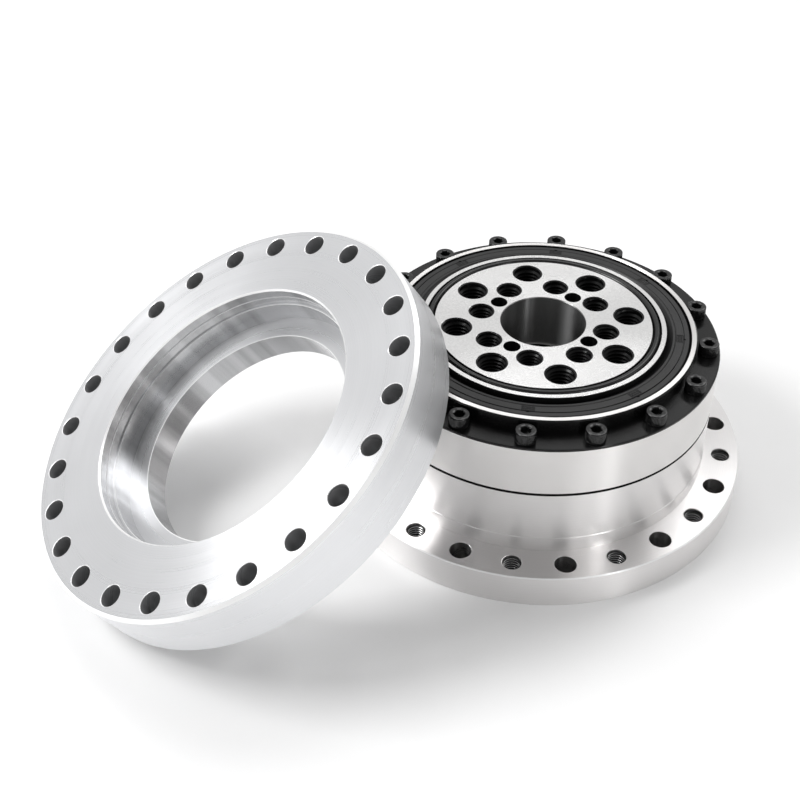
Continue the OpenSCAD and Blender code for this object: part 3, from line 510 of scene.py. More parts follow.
@dataclass(frozen=True)
class TurnedAluminium(Finish):
    """Bright aluminium with fine turning lines, soft bands, and painted shade, reflection streaks
    and highlights.

    Attributes:
        axis: Turning axis.
        tone: Colour of the metal.
        holes: Inner and outer radius of the ring that the drilled holes lie in.
        roughness: Mean roughness.
        anisotropy: How far highlights stretch across the turning lines.
        groove: Depth of the turning lines.
        joint: Heights between which the joint to the next part is painted near black as shade.
        bore: Radius under which the walls are finer.
        bore_shade_share: Brightness of those walls, as a share of the tone, lowered as painted
            shade and varied by painted reflection streaks.
        hole_shade_share: Brightness of the drilled holes' walls, as a share of the tone, lowered
            as painted shade.
        drilled_metal: How metallic the drilled holes' walls look.
        highlight_rings: Rings of the end faces, by their inner and outer radius, painted near
            white as highlights.
        rim: Radius outside which the chamfers are painted near white as highlights.
    """

    axis: Axis = UNIT_AXIS
    tone: Vector = (0.86, 0.845, 0.84)
    holes: Span = (78.5 * MM, 88.5 * MM)
    roughness: float = 0.36
    anisotropy: float = 0.95
    groove: float = 0.0012 * MM
    joint: Span = (0.0, 0.0)
    bore: float = 0.0
    bore_shade_share: float = 0.68
    hole_shade_share: float = 0.4
    drilled_metal: float = 1.0
    highlight_rings: tuple[Span, ...] = ()
    rim: float = 90.0 * MM

    def make(self) -> Material:
        """Build the material."""
        g = Graph(self.name, self.axis)
        fine = g.lathe_lines(2600.0)
        bands = g.lathe_lines(160.0)
        clouds = g.noise(g.point, 22.0, 3.0)
        facing = g.facing()
        upright, flat = g.span(facing, 0.25, 0.4, 1.0, 0.0), g.span(facing, 0.9, 0.95)
        drilled = g.times(g.within(g.radius, *self.holes), upright)
        shade = g.plus(g.sway(fine, -0.02, 0.02), g.sway(clouds, 0.96, 1.0))
        metal = g.mix(shade, rgba(0.0), rgba(self.tone))
        # Painted shade: the joint gap to the next part is painted near black.
        if self.joint[1] > self.joint[0]:
            metal = g.mix(g.within(g.height, *self.joint), metal, rgba(0.01))
        # Painted highlights: chamfers beyond the rim, and the listed rings on end faces, are
        # marked
        bevel = g.within(facing, 0.45, 0.88, 0.02)
        beyond = g.span(g.radius, self.rim, self.rim + 0.01 * MM)
        edge = g.times(bevel, beyond)
        for inner, outer in self.highlight_rings:
            ring = g.times(g.within(g.radius, inner, outer), flat)
            edge = g.math("MAXIMUM", edge, ring)
        # Painted shade and painted reflection streaks on the bore walls: a darker tone, varied by
        # noise round the axis
        wall = g.times(upright, g.span(g.radius, self.bore, self.bore + 1.0 * MM, 1.0, 0.0))
        spoke = g.vector("NORMALIZE", g.vector("MULTIPLY", g.point, (1.0, 1.0, 0.0)))
        fan = g.span(g.noise(spoke, 4.0, 3.0, 0.6), 0.38, 0.6)
        dull = rgba(self.tone, self.bore_shade_share * 0.62)
        streaks = g.mix(fan, dull, rgba(self.tone, self.bore_shade_share))
        metal = g.mix(wall, metal, streaks)
        # Painted shade: the drilled holes' walls are darkened
        metal = g.mix(drilled, metal, rgba(self.tone, self.hole_shade_share))
        # Painted highlight: near white, and less metallic, where the chamfers and rings are
        # marked
        g.set(base=g.mix(edge, metal, rgba(0.95)))
        bare = g.blend(drilled, 1.0, self.drilled_metal)
        g.set(metallic=g.math("MINIMUM", g.blend(edge, 1.0, 0.35), bare))
        rough = g.plus(g.sway(bands, -0.02, 0.02), g.sway(fine, -0.02, 0.02))
        rough = g.plus(rough, g.sway(clouds, -0.015, 0.015))
        drill, reamer = g.blend(drilled, self.roughness, 0.3), g.blend(wall, 1.0, 0.2)
        g.set(roughness=g.plus(rough, g.math("MINIMUM", drill, reamer)))
        g.bump(fine, self.groove)
        g.turned(self.anisotropy)
        return g.material


@dataclass(frozen=True)
class Zone:
    """A ring of bright ground metal.

    Attributes:
        inner: Its inner radius.
        outer: Its outer radius.
        low: Height of its lower end.
        high: Height of its upper end.
    """

    inner: float
    outer: float
    low: float
    high: float


@dataclass(frozen=True)
class BlackenedSteel(Finish):
    """Black oxide steel, with faces that were ground bright afterwards.

    Attributes:
        zones: Bright zones about Z.
        bright: Colour of the ground faces.
        black: Grey level of the black oxide.
        polish: Radii between which the oxide is a polished bore, by default only a spot on
            the axis.
        bore_tone: Grey level of the polished bore.
        bore_roughness: Roughness of the polished bore.
        speckle: Strength of the ground faces' fine grain.
        roughness: Mean roughness of the ground faces.
        anisotropy: How far highlights stretch across the turning lines.
    """

    zones: tuple[Zone, ...] = ()
    bright: Vector = (0.84, 0.825, 0.815)
    black: float = 0.004
    polish: Span = (0.0, 1.0 * MM)
    bore_tone: float = 0.24
    bore_roughness: float = 0.33
    speckle: float = 0.03
    roughness: float = 0.36
    anisotropy: float = 0.95

    def make(self) -> Material:
        """Build the material."""
        g = Graph(self.name)
        ground: object = 0.0
        for zone in self.zones:
            reach = g.within(g.radius, zone.inner, zone.outer)
            inside = g.times(reach, g.within(g.height, zone.low, zone.high))
            ground = g.math("MAXIMUM", ground, inside)
        bore = g.within(g.radius, *self.polish)
        fine = g.lathe_lines(2300.0)
        grain = g.noise(g.point, 1300.0, 2.0, 0.6)
        clouds = g.noise(g.point, 60.0, 3.0)
        deep, pale = rgba(self.black, (0.7, 0.7, 0.72)), rgba(self.black, (1.0, 1.0, 1.04))
        dark = g.mix(g.span(clouds, 0.35, 0.7), deep, pale)
        dark = g.mix(bore, dark, rgba(self.bore_tone))
        dull = rgba(self.bright, 1.0 - 2.0 * self.speckle)
        light = g.mix(g.span(grain, 0.35, 0.65), dull, rgba(self.bright))
        g.set(base=g.mix(ground, dark, light))
        g.set(metallic=g.math("MAXIMUM", ground, bore), ior=1.38)
        wear = g.plus(g.sway(fine, -0.02, 0.02), g.sway(clouds, -0.02, 0.02))
        ground_rough = g.blend(ground, 0.2, self.roughness)
        bore_rough = g.blend(bore, 0.0, self.bore_roughness)
        g.set(roughness=g.plus(wear, g.math("MAXIMUM", ground_rough, bore_rough)))
        g.bump(g.plus(fine, g.times(grain, 8.0 * self.speckle)), 0.0008 * MM)
        g.turned(self.anisotropy)
        return g.material


@dataclass(frozen=True)
class BlackOxide(Finish):
    """Black oxide on screws, threads and rings: deep black with a grey bloom of fine grain.

    Attributes:
        tone: Grey level of the coating.
        bloom: Grey level of the worn grain.
        roughness: Mean roughness.
        share: How much of the surface the grain covers, from 0 to 1.
    """

    tone: float = 0.003
    bloom: float = 0.022
    roughness: float = 0.2
    share: float = 0.25

    def make(self) -> Material:
        """Build the material."""
        g = Graph(self.name)
        grain = g.noise(g.point, 2600.0, 3.0, 0.7)
        clouds = g.noise(g.point, 120.0, 3.0)
        fac = g.span(grain, 0.62 - self.share * 0.2, 0.72)
        coating = rgba(self.tone, (1.0, 1.0, 1.05))
        g.set(base=g.mix(fac, coating, rgba(self.bloom, (1.0, 1.0, 1.03))))
        worn = g.blend(fac, self.roughness, self.roughness + 0.12)
        g.set(roughness=g.plus(g.sway(clouds, -0.06, 0.06), worn), ior=1.5)
        g.bump(grain, 0.012 * MM)
        return g.material


@dataclass(frozen=True)
class MouldedRubber(Finish):
    """Black rubber with a fine moulded grain.

    Attributes:
        tone: Grey level.
        roughness: Mean roughness.
    """

    tone: float = 0.02
    roughness: float = 0.38

    def make(self) -> Material:
        """Build the material."""
        g = Graph(self.name)
        grain = g.noise(g.point, 1800.0, 3.0, 0.6)
        dust = g.noise(g.point, 90.0, 4.0)
        shade = g.span(dust, 0.35, 0.75)
        clean = rgba(self.tone, (0.75, 0.75, 0.78))
        g.set(base=g.mix(shade, clean, rgba(self.tone, (1.3, 1.3, 1.33))))
        g.set(roughness=g.plus(g.sway(grain, -0.05, 0.07), self.roughness), ior=1.45)
        g.bump(grain, 0.01 * MM)
        return g.material


@dataclass(frozen=True)
class BareSteel(Finish):
    """Uncoated steel with turning lines and a thin film of oil.

    Attributes:
        tone: Colour of the metal.
        roughness: Mean roughness.
        grain: Depth of the surface's grain, in metres.
    """

    tone: Vector = (0.56, 0.56, 0.58)
    roughness: float = 0.3
    grain: float = 0.004 * MM

    def make(self) -> Material:
        """Build the material."""
        g = Graph(self.name)
        fine = g.lathe_lines(1900.0)
        film = g.noise(g.point, 75.0, 3.0)
        oiled = rgba(self.tone, (0.86, 0.85, 0.84))
        g.set(base=g.mix(g.sway(film, 0.0, 1.0), oiled, rgba(self.tone)))
        rough = g.plus(g.sway(film, -0.05, 0.06), g.sway(fine, -0.03, 0.03))
        g.set(metallic=1.0, roughness=g.plus(rough, self.roughness))
        g.bump(fine, self.grain)
        g.turned(0.4)
        return g.material


@dataclass(frozen=True)
class CutThread(Finish):
    """Cut thread in a circle of holes: dark flanks, which on aluminium are painted shade, and
    crests with a painted glint.

    Attributes:
        holes: Circle of the holes.
        crest: Radius of the thread's crest.
        flank: Grey level of the flanks: the oxide's own black on oxide, painted shade on
            aluminium.
        shine: Grey level of the crest's metal band, a painted glint.
    """

    holes: Circle
    crest: float
    flank: float
    shine: float

    def make(self) -> Material:
        """Build the material."""
        g = Graph(self.name)
        x, y, _ = g.split(g.point)
        step = 2.0 * pi / self.holes.count
        turn = g.math("SUBTRACT", g.math("ARCTAN2", y, x), radians(self.holes.first))
        nearest = g.times(g.math("ROUND", g.math("DIVIDE", turn, step)), step)
        off = g.math("SUBTRACT", turn, nearest)
        along = g.math("SUBTRACT", g.times(g.radius, g.math("COSINE", off)), self.holes.radius)
        across = g.times(g.radius, g.math("SINE", off))
        away = g.length(along, across)
        grain = g.noise(g.point, 1800.0, 3.0, 0.6)
        crest = g.span(away, self.crest + 0.1 * MM, self.crest + 0.2 * MM, 1.0, 0.0)
        # Painted glint on the crests; the dark flanks are painted shade on aluminium
        lit = g.times(crest, g.span(grain, 0.35, 0.6, 0.7, 1.0))
        g.set(base=g.mix(lit, rgba(self.flank), rgba(self.shine)))
        g.set(metallic=g.blend(crest, 0.0, 0.8), roughness=g.sway(grain, 0.2, 0.28), ior=1.3)
        return g.material


@dataclass(frozen=True)
class CageResin(Finish):
    """Glass filled resin: warm brown with short pale fibres.

    Attributes:
        tone: Colour between the fibres.
    """

    tone: Vector = (0.36, 0.24, 0.12)

    def make(self) -> Material:
        """Build the material."""
        g = Graph(self.name)
        fibres = g.noise(g.vector("MULTIPLY", g.point, (1.0, 1.0, 0.15)), 1400.0, 3.0, 0.7)
        g.set(base=g.mix(g.span(fibres, 0.5, 0.72), rgba(self.tone), rgba(self.tone, 1.5)))
        g.set(roughness=g.sway(fibres, 0.42, 0.58))
        g.bump(fibres, 0.01 * MM)
        return g.material


# ---------- threads


@dataclass(frozen=True)
class TappedHoles:
    """A circle of tapped holes, whose thread ridges are wound on the holes' walls.

    Attributes:
        name: Name of the piece.
        size: Thread diameter.
        pitch: Thread pitch.
        holes: Circle of the holes.
        top: Height at which the thread starts, below the hole's bevel.
        depth: Length of the thread.
        body: Body that the holes belong to.
        segments: Number of steps in one turn of the ridge.
    """

    name: str
    size: float
    pitch: float
    holes: Circle
    top: float
    depth: float
    body: Body
    segments: int = 40

    def ridge(self) -> Surface:
        """The wound ridge of one hole, about Z.

        At the turn angle t the section sits at the height top - pitch * t / (2 pi). Its
        four corners have the radii wall at the root, which lies just inside the metal, and
        wall - RIDGE * pitch * grow at the crest, and the heights -0.43, -0.07, 0.07 and 0.43
        of the pitch. grow rises from 0 to 1 in the first half turn and falls again in the
        last, so that the ridge runs out into the wall.

        Returns:
            The closed ridge.
        """
        turns = self.depth / self.pitch - 1.0
        t = np.linspace(0.0, 2.0 * pi * turns, int(turns * self.segments))
        grow = np.clip(np.minimum(t, t[-1] - t) / pi, 0.02, 1.0)
        sunk = 0.01 * MM
        wall = self.size / 2 + sunk
        crest = wall - RIDGE * self.pitch * grow
        radii = np.stack([np.full_like(t, wall), crest, crest, np.full_like(t, wall)], 1)
        rise = np.array([-0.43, -0.07, 0.07, 0.43]) * self.pitch
        middle = self.top - self.pitch * (t / (2.0 * pi) + 0.5)
        return carried_loop(wound(t, radii, middle[:, None] + rise))

    def build(self, slot: Slot, flank: float, shine: float) -> None:
        """Add the threads of all the holes as one piece.

        Args:
            slot: Not used.
            flank: Grey level of the threads' flanks: the oxide's own black on oxide, painted
                shade on aluminium.
            shine: Grey level of the metal band on the threads' crests, a painted glint.
        """
        crest = self.size / 2 - RIDGE * self.pitch
        finish = CutThread(f"{self.name}_cut", self.holes, crest, flank, shine).make()
        new_piece(self.name, copied(self.ridge(), self.holes.moves()), finish, self.body)


# ---------- sub-assemblies


@dataclass
class SubAssembly:
    """Parts that are dressed together.

    Attributes:
        nodes: CAD nodes by name.
    """

    nodes: dict

    def dress(self, finish: Finish, *names: str) -> Material:
        """Give CAD nodes a finish, in all their material slots.

        Args:
            finish: The finish.
            names: Names of the nodes.

        Returns:
            The material.
        """
        material = finish.make()
        for name in names:
            mesh = self.nodes[name].data
            if not mesh.materials:
                mesh.materials.append(material)
            for k in range(len(mesh.materials)):
                mesh.materials[k] = material
            LOG.info("%s: %s", name, material.name)
        return material


@dataclass(frozen=True)
class ClampScrew:
    """A socket head screw: knurled head with a rounded rim, sunk hexagon and shank.

    Attributes:
        length: Length of the shank.
        head_height: Height of the head.
        head_radius: Radius of the head.
        shank_radius: Radius of the shank.
        bevel_radius: Radius of the bevel that leads into the hexagon.
        across: Width of the hexagon, from flat to flat.
        knurls: Number of knurls round the head.
        knurl_depth: Depth of the furrows between the knurls.
    """

    length: float
    head_height: float
    head_radius: float = 4.25 * MM
    shank_radius: float = 2.46 * MM
    bevel_radius: float = 2.45 * MM
    across: float = 4.0 * MM
    knurls: int = 48
    knurl_depth: float = 0.15 * MM

    def surface(self) -> Surface:
        """The screw about Z, with the underside of its head at height 0.

        It is a grid of the turn angle t and the levels of a profile that runs from the
        shank's end up the shank, round the head and down into the hexagon. On the head's
        wall every second column lies knurl_depth deeper. In the hexagon the radius is
        across / 2 / cos(t), where t is the angle from the middle of the nearest flat.

        Returns:
            The closed screw.
        """
        r, h, shank = self.head_radius, self.head_height, self.shank_radius
        end = -self.length / h
        # Radius and height of each level, with the height as a share of the head's
        profile = [
            (PINHOLE, end), (shank * 0.8, end), (shank, end + 0.1), (shank, 0.0),
            (r - 0.35 * MM, 0.0), (r, 0.08), (r, 0.09), (r, 0.84), (r, 0.85),
            (r - 0.02 * MM, 0.925), (r - 0.12 * MM, 0.965), (r - 0.28 * MM, 0.99),
            (r - 0.45 * MM, 1.0), (self.bevel_radius, 1.0),
        ]
        # The furrows' levels in the profile, and the heights of the levels in the hexagon
        furrow, socket = slice(6, 8), (0.945, 0.45, 0.40)
        columns = 2 * self.knurls
        angle = np.arange(columns) * 2.0 * pi / columns
        radii = np.tile([radius for radius, _ in profile], (columns, 1))
        radii[1::2, furrow] -= self.knurl_depth
        side = self.across / 2 / np.cos(angle % (pi / 3) - pi / 6)
        radii = np.column_stack([radii, side, side, np.full(columns, PINHOLE)])
        level = np.array([share for _, share in profile] + list(socket)) * h
        return carried_loop(wound(angle, radii, level).transpose(1, 0, 2))


@dataclass(frozen=True)
class SealRelief:
    """The moulded relief on the oil seal's face: a low band, with ribs in its notches over dark
    slabs of painted shade.

    Attributes:
        inner: Inner radius of the band.
        outer: Outer radius of the band.
        notches: Places of the notches, about the axis.
        notch_width: Width of a notch, along the circle.
        drop: How far the face lies below the seal's highest point.
        band_height: Height of the band above the face.
        slant: Width of the band's slanted sides.
        rib_half: Half length of a rib.
        rib_radius: Radius of a rib's rounded top.
        rib_pitch: Distance from rib to rib.
    """

    inner: float = 56.15 * MM
    outer: float = 59.25 * MM
    notches: Circle = Circle(0.0, -93.0, 8)
    notch_width: float = 5.5 * MM
    drop: float = 0.3 * MM
    band_height: float = 0.12 * MM
    slant: float = 0.08 * MM
    rib_half: float = 2.1 * MM
    rib_radius: float = 0.2 * MM
    rib_pitch: float = 0.98 * MM

    def build(self) -> None:
        """Add the band, the ribs and the dark slabs of painted shade in the notches."""
        face, middle = top("oil_seal") - self.drop, (self.inner + self.outer) / 2
        band = MouldedRubber("seal_rubber_band", 0.007, 0.34)
        self._add("seal_face_band", self._band(face), self.notches.moves(), band, 25.0)
        ribs = MouldedRubber("seal_rubber_ribs", 0.012, 0.3)
        rows = [self._row(middle + k * self.rib_pitch, face) for k in (-1, 0, 1)]
        self._add("seal_notch_ribs", self._rib(), np.concatenate(rows), ribs)
        # Painted shade: a near-black, dull slab fills each notch's floor
        deep = MouldedRubber("seal_notch_shade_rubber", 0.002, 0.75)
        self._add("seal_notch_shade_slabs", self._floor(), self._row(middle, face), deep)

    def _row(self, radius: float, height: float) -> np.ndarray:
        """One place in each notch, at a radius and a height."""
        return replace(self.notches, radius=radius).moves(height)

    @staticmethod
    def _add(
        name: str, surface: Surface, moves: np.ndarray, rubber: Finish, crease: float = 40.0
    ) -> None:
        """Add one moulded piece of the housing, which repeats a surface."""
        shape = copied(surface, moves)
        new_piece(name, shape, rubber.make(), Body.HOUSING, crease)

    def _band(self, face: float) -> Surface:
        """A stretch of the band, from the end of one notch to the start of the next.

        It carries one section, a flat ridge with slanted sides, along the turn angle.

        Args:
            face: Height of the seal's face.

        Returns:
            The closed stretch.
        """
        gap = self.notch_width / (self.inner + self.outer) * 2.0
        steps = 40
        angle = np.linspace(gap / 2, 2.0 * pi / self.notches.count - gap / 2, steps)
        slopes = np.array([0.0, self.slant, -self.slant, 0.0])
        radii = np.array([self.inner, self.inner, self.outer, self.outer]) + slopes
        root, height = -0.05 * MM, self.band_height
        return carried_loop(wound(angle, radii, face + np.array([root, height, height, root])))

    def _rib(self) -> Surface:
        """A long low bar along the seal's tangent, with a rounded top.

        Its section is a half circle, whose width and height are multiplied by
        sqrt(1.02 - (distance from the middle / rib_half) ** 8), so that its ends are round.

        Returns:
            The closed bar.
        """
        steps, corners, sunk = 7, 8, 0.03 * MM
        along = np.linspace(-self.rib_half, self.rib_half, steps)
        arc = np.linspace(0.0, pi, corners)
        across, rise = np.cos(arc) * self.rib_radius, np.sin(arc) * self.rib_radius - sunk
        grow = np.sqrt(np.clip(1.02 - (along / along[-1]) ** 8, 0.0, 1.0))[:, None]
        lengthwise = np.repeat(along[:, None], corners, 1)
        return carried_loop(np.stack([across * grow, lengthwise, rise * grow], -1))

    def _floor(self) -> Surface:
        """A thin slab of painted shade that closes a notch: a rectangle at two heights."""
        room, heights = 0.02 * MM, (-0.1 * MM, 0.02 * MM)
        half, wide = (self.outer - self.inner) / 2 - room, self.notch_width / 2
        corner = np.array([[-half, -wide], [half, -wide], [half, wide], [-half, wide]])
        return carried_loop(np.stack([np.column_stack([corner, np.full(4, z)]) for z in heights]))


@dataclass
class Housing(SubAssembly):
    """Base flange, outer ring, oil seal and the screws that hold them.

    Attributes:
        flange_top: Height of the flange's top face.
        holes: Circle of the flange's tapped holes.
        screws: Circle of the clamp screws.
        head_height: Height of a clamp screw's head.
        ring_side: Radii of the outer ring's bright side.
        ring_land: Radii of the outer ring's bright land.
    """

    flange_top: float = 15.5 * MM
    holes: Circle = Circle(83.3 * MM, -93.1, 12)
    screws: Circle = Circle(70.0 * MM, -2.5, 16)
    head_height: float = 5.0 * MM
    ring_side: Span = (74.88 * MM, 75.06 * MM)
    ring_land: Span = (62.7 * MM, 64.68 * MM)

    def ledge(self) -> float:
        """Height of the ledge that carries the clamp screws."""
        return top("clamp_screw_set") - self.head_height

    def build(self) -> None:
        """Dress the housing's nodes and add its threads, screws and moulded ribs."""
        # A band of painted shade at the joint, widened by leaving the ring's lowest 0.85 mm
        # black; a bright side up to near the ledge, and a bright land
        joint, land = top("base_flange"), top("bearing_outer_ring")
        joint_shade = (joint - 0.45 * MM, joint + 0.3 * MM)
        side = Zone(*self.ring_side, joint + 0.85 * MM, self.ledge() - 1.12 * MM)
        flat = Zone(*self.ring_land, land - 0.1 * MM, land + 0.2 * MM)
        ring = BlackenedSteel("outer_ring_steel", (side, flat), speckle=0.0)
        ground = BareSteel("ground_roller_steel", (0.72, 0.72, 0.73), 0.16, GROUND_GRAIN)
        self.dress(TurnedAluminium("base_aluminium", joint=joint_shade), "base_flange")
        self.dress(ring, "bearing_outer_ring")
        screw = self.dress(BlackOxide("black_oxide_screw"), "clamp_screw_set", "spline_screw_set")
        self.dress(MouldedRubber("seal_rubber_face", 0.007, 0.34), "oil_seal")
        self.dress(MouldedRubber("o_ring_rubber_base", 0.01, 0.3), "base_o_ring")
        self.dress(BareSteel("circular_spline_steel"), "circular_spline")
        self.dress(ground, "roller_plug", "roller_plug_pin", "garter_spring")
        self._flange_threads()
        self._clamp_screws(screw)
        SealRelief().build()

    def _flange_threads(self) -> None:
        """Threads in every second hole of the base flange."""
        bevel = 0.3 * MM
        # Painted shade: the aluminium flanks are near black, beside crests with a painted glint
        TappedHoles(
            "flange_threads", size=8.0 * MM, pitch=1.25 * MM, holes=self.holes,
            top=self.flange_top - bevel, depth=self.flange_top - 2.0 * bevel, body=Body.HOUSING,
        ).build(Slot.ALUMINIUM, flank=0.02, shine=0.6)

    def _clamp_screws(self, material: Material) -> None:
        """Add the screws on their circle; they stand for the plain CAD screws."""
        screw = ClampScrew(self.ledge() - foot("clamp_screw_set"), self.head_height).surface()
        shape = copied(screw, self.screws.moves(self.ledge()))
        screws = new_piece("clamp_screws", shape, material, Body.HOUSING, 35.0)
        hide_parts("clamp_screw_set")


@dataclass
class Output(SubAssembly):
    """Output flange with its seals, and the toothed cup that drives it.

    Attributes:
        holes: Circle of the large tapped holes.
        inner_holes: Circle of the smaller tapped holes, which lie between the large ones.
        disc: Radii of the ground face.
        lip: Radii of the ground face outside the O-ring.
        bore: Radii that hold the polished wall of the centre bore.
        cap_land: Radii of the bore cap's bright edge.
    """

    holes: Circle = Circle(37.15 * MM, 13.6, 8)
    inner_holes: Circle = Circle(27.0 * MM, 13.6 + 22.5, 8)
    disc: Span = (18.28 * MM, 46.2 * MM)
    lip: Span = (50.05 * MM, 52.1 * MM)
    bore: Span = (17.9 * MM, 18.2 * MM)
    cap_land: Span = (17.3 * MM, 18.2 * MM)

    def build(self) -> None:
        """Dress the output's nodes and add the threads of its holes."""
        face, rim = top("output_flange"), top("bore_cap")
        disc = Zone(*self.disc, face - 0.05 * MM, face + 0.15 * MM)
        lip = Zone(*self.lip, face - 0.13 * MM, face + 0.15 * MM)
        cap = Zone(*self.cap_land, rim - 0.4 * MM, rim + 0.1 * MM)
        flange = BlackenedSteel(
            "output_flange_steel",
            (disc, lip),
            bright=(0.88, 0.875, 0.87),
            polish=self.bore,
            speckle=0.045,
            roughness=0.17,
            anisotropy=1.0,
        )
        dowels = BareSteel("dowel_steel", (0.7, 0.7, 0.71), 0.15, GROUND_GRAIN)
        self.dress(flange, "output_flange")
        self.dress(MouldedRubber("o_ring_rubber_face", 0.005, 0.2), "face_o_ring")
        self.dress(BlackenedSteel("bore_cap_steel", (cap,)), "bore_cap")
        self.dress(BlackOxide("black_oxide_bolt"), "cup_bolts")
        self.dress(BareSteel("cup_steel", (0.62, 0.62, 0.64), 0.26), "flexspline")
        self.dress(BareSteel("clamp_ring_steel", (0.4, 0.4, 0.42), 0.34), "cup_clamp_ring")
        self.dress(dowels, "dowel_pins")
        for threads in (
            TappedHoles(
                "output_threads", size=12.0 * MM, pitch=1.75 * MM, holes=self.holes,
                top=face - 0.42 * MM, depth=20.8 * MM, body=Body.OUTPUT, segments=48,
            ),
            TappedHoles(
                "inner_threads", size=10.0 * MM, pitch=1.5 * MM, holes=self.inner_holes,
                top=face - 0.41 * MM, depth=13.0 * MM, body=Body.OUTPUT, segments=44,
            ),
        ):
            # The flanks keep the oxide's black; the crests get a painted glint
            threads.build(Slot.BLACKENED, flank=0.002, shine=0.018)


@dataclass
class RollerSet(SubAssembly):
    """Crossed rollers and their spacers."""

    def build(self) -> None:
        """Dress the rollers and the spacers."""
        steel = BareSteel("roller_steel", (0.74, 0.74, 0.75), 0.12, GROUND_GRAIN)
        self.dress(steel, "crossed_rollers")
        self.dress(CageResin("spacer_resin"), "roller_spacers")


@dataclass
class WaveGenerator(SubAssembly):
    """Elliptical plug, its thin ball bearing, the coupling and the input hub."""

    def build(self) -> None:
        """Dress the wave generator's nodes."""
        races = BareSteel("thin_race_steel", (0.7, 0.7, 0.71), 0.16, GROUND_GRAIN)
        plain = BareSteel("plain_turned_steel", (0.54, 0.54, 0.56), 0.3)
        bearing = ("wave_bearing_inner_race", "wave_bearing_outer_race", "wave_bearing_balls")
        self.dress(races, *bearing)
        self.dress(CageResin("cage_resin_moulding"), "wave_bearing_cage", "coupling_insert")
        self.dress(BareSteel("cam_plug_steel", (0.46, 0.46, 0.48), 0.32), "cam_plug")
        self.dress(plain, "retainer_plate", "input_hub", "thrust_washer")
        self.dress(BlackOxide("black_oxide_small"), "retainer_screws", "hub_snap_ring")


@dataclass
class Adapter(SubAssembly):
    """The loose adapter flange that leans on the unit.

    Attributes:
        axis: The flange's own turning axis.
        bore: Radius under which its walls are finely bored and carry painted shade and painted
            reflection streaks.
        highlight_rings: Radii of the rings on its end faces that are painted near white as
            highlights.
    """

    axis: Axis = ADAPTER_AXIS
    bore: float = 62.0 * MM
    highlight_rings: tuple[Span, ...] = (
        (59.5 * MM, 59.9 * MM),
        (58.5 * MM, 58.85 * MM),
        (48.9 * MM, 49.3 * MM),
    )

    def build(self) -> None:
        """Dress the adapter."""
        satin = TurnedAluminium(
            "adapter_aluminium",
            self.axis,
            (0.8, 0.805, 0.82),
            roughness=0.3,
            anisotropy=0.65,
            groove=0.0002 * MM,
            bore=self.bore,
            bore_shade_share=0.76,
            hole_shade_share=0.42,
            drilled_metal=0.4,
            rim=0.0,
            highlight_rings=self.highlight_rings,
        )
        self.dress(satin, "adapter_flange")


# ---------- studio


@dataclass(frozen=True)
class SoftLight:
    """A large soft light that aims at the unit.

    Attributes:
        name: Name of the light.
        bearing: Direction from the unit, in degrees about Z from X.
        climb: Elevation in degrees.
        distance: Distance from the unit.
        width: Width of the light.
        height: Height of the light.
        radiance: Brightness of its surface, where 1 is a fully lit white.
    """

    name: str
    bearing: float
    climb: float
    distance: float
    width: float
    height: float
    radiance: float

    def build(self, target: Vector) -> None:
        """Add the light and aim it at a point."""
        lamp = bpy.data.lights.new(self.name, "AREA")
        lamp.shape = "RECTANGLE"
        lamp.size, lamp.size_y = self.width, self.height
        lamp.energy = self.radiance * pi * self.width * self.height
        light = bpy.data.objects.new(self.name, lamp)
        away = towards(self.bearing, self.climb)
        light.location = [t + self.distance * a for t, a in zip(target, away)]
        turn = radians(self.bearing) + pi / 2
        light.rotation_euler = (pi / 2 - radians(self.climb), 0.0, turn)
        bpy.context.scene.collection.objects.link(light)


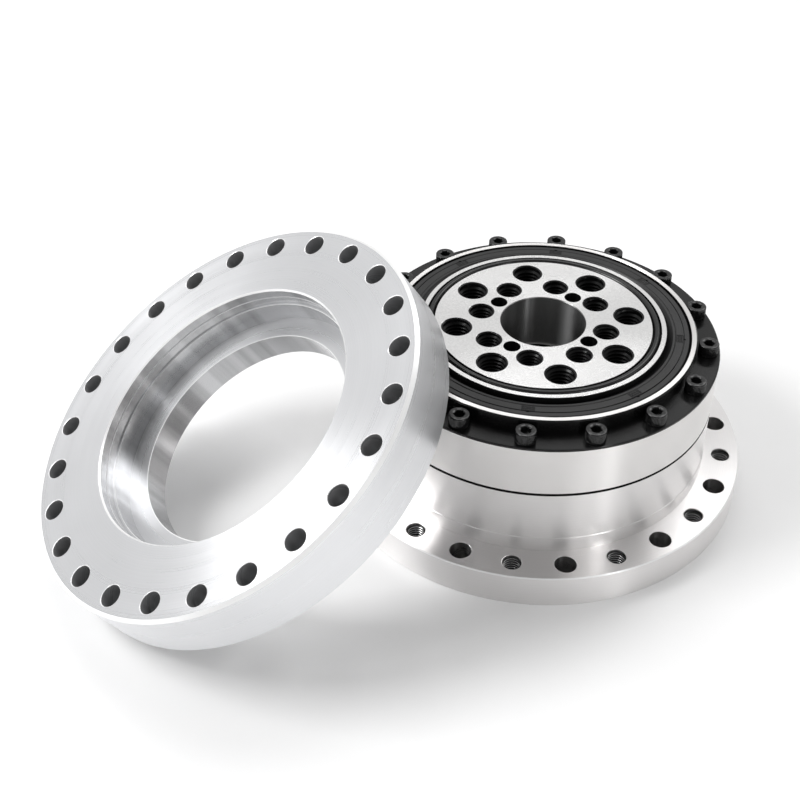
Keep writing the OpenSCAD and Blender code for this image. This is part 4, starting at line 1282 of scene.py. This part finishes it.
@dataclass
class Studio:
    """Pale floor, soft lights and the camera.

    Attributes:
        eye: Place of the camera.
        pitch: How far the camera looks down, in radians.
        yaw: How far it is turned to the left, in radians.
        lens: Focal length, in millimetres.
        sensor: Width of the sensor, in millimetres.
        floor_half: Half of the floor's width.
        floor_drop: How far the floor lies below the part.
        target: Point that the lights aim at.
        dim: Brightness of the surround where it has no glow.
        glows: Pale parts of the surround: bearing and elevation of the middle, cosine at the
            rim, and brightness added in the middle.
        lights: The soft lights.
    """

    eye: Vector = (0.0, -0.4608, 0.4015)
    pitch: float = 0.6771
    yaw: float = 0.1326
    lens: float = 59.1
    sensor: float = 36.0
    floor_half: float = 6.0
    floor_drop: float = 0.05 * MM
    target: Vector = (-0.03, -0.02, 0.05)
    dim: float = 0.02
    glows: tuple[tuple[float, float, float, float], ...] = (
        (88.0, 36.0, 0.6, 0.79),
        (172.0, 34.0, 0.6, 0.78),
        (270.0, 30.0, 0.5, 0.44),
        (0.0, 30.0, 0.6, 0.45),
        (225.0, 25.0, 0.7, 0.12),
    )
    # Bearing, climb, distance, width, height and radiance of each light
    lights: tuple[SoftLight, ...] = (
        SoftLight("left", 191.0, 44.0, 1.5, 0.6, 0.6, 11.4),
        SoftLight("overhead", 95.0, 62.0, 1.5, 0.9, 0.6, 2.6),
        SoftLight("back_right", 55.0, 45.0, 1.5, 0.6, 0.6, 2.4),
        SoftLight("strip_right", -43.0, 24.0, 1.3, 0.07, 0.8, 12.0),
        SoftLight("strip_beside", -57.0, 24.0, 1.3, 0.07, 0.8, 3.5),
        SoftLight("strip_left", 217.0, 36.0, 1.3, 0.05, 0.7, 7.0),
        SoftLight("right", 5.0, 30.0, 1.4, 0.5, 0.5, 0.9),
    )

    def build(self) -> None:
        """Add the camera, the floor, the surround and the lights."""
        self._camera()
        self._floor()
        self._surround()
        for light in self.lights:
            light.build(self.target)
        bpy.context.scene.view_settings.view_transform = "Standard"

    def _floor(self) -> None:
        """A wide pale floor just under the part."""
        half, z = self.floor_half, -self.floor_drop
        corners = [(-half, -half, z), (half, -half, z), (half, half, z), (-half, half, z)]
        mesh = bpy.data.meshes.new("studio_floor")
        mesh.from_pydata(corners, [], [(0, 1, 2, 3)])
        floor = bpy.data.objects.new("studio_floor", mesh)
        bpy.context.scene.collection.objects.link(floor)
        g = Graph("studio_floor_paint")
        grain = g.noise(g.point, 40.0, 4.0)
        g.set(base=g.mix(grain, rgba(0.9), rgba(0.92)), roughness=0.6)
        mesh.materials.append(g.material)

    def _surround(self) -> None:
        """A dim surround with soft glows: strong behind and on the left, weaker elsewhere.

        Its brightness is dim + sum(gain * s), where s rises smoothly from 0 to 1 as the cosine
        of the angle from the middle of a glow rises from its rim's cosine to 1.
        """
        world = bpy.data.worlds.new("studio_surround")
        world.use_nodes = True
        g = Nodes(world.node_tree)
        where = g.node("TexCoord", {}).outputs["Generated"]
        total: object = self.dim
        for bearing, climb, rim, gain in self.glows:
            near = g.dot(where, towards(bearing, climb))
            total = g.plus(total, g.span(near, rim, 1.0, 0.0, gain, shape="SMOOTHSTEP"))
        background = g.tree.nodes["Background"]
        g.feed(background.inputs["Strength"], total)
        g.feed(background.inputs["Color"], rgba(1.0))
        bpy.context.scene.world = world

    def _camera(self) -> None:
        """The camera, looking down at the unit from the front."""
        camera = bpy.data.cameras.new("camera")
        camera.lens, camera.sensor_width = self.lens, self.sensor
        camera.clip_start = 0.01
        eye = bpy.data.objects.new("camera", camera)
        eye.location = self.eye
        eye.rotation_euler = (pi / 2 - self.pitch, 0.0, self.yaw)
        bpy.context.scene.collection.objects.link(eye)
        bpy.context.scene.camera = eye


# ---------- the unit


def main() -> None:
    """Build the dressed unit and its studio, piece by piece."""
    logging.basicConfig(level=logging.INFO, format="%(name)s: %(message)s")
    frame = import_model()
    nodes = frame["nodes"]
    Studio().build()
    for assembly in (Housing, Output, RollerSet, WaveGenerator, Adapter):
        assembly(nodes).build()


if __name__ == "__main__":
    main()
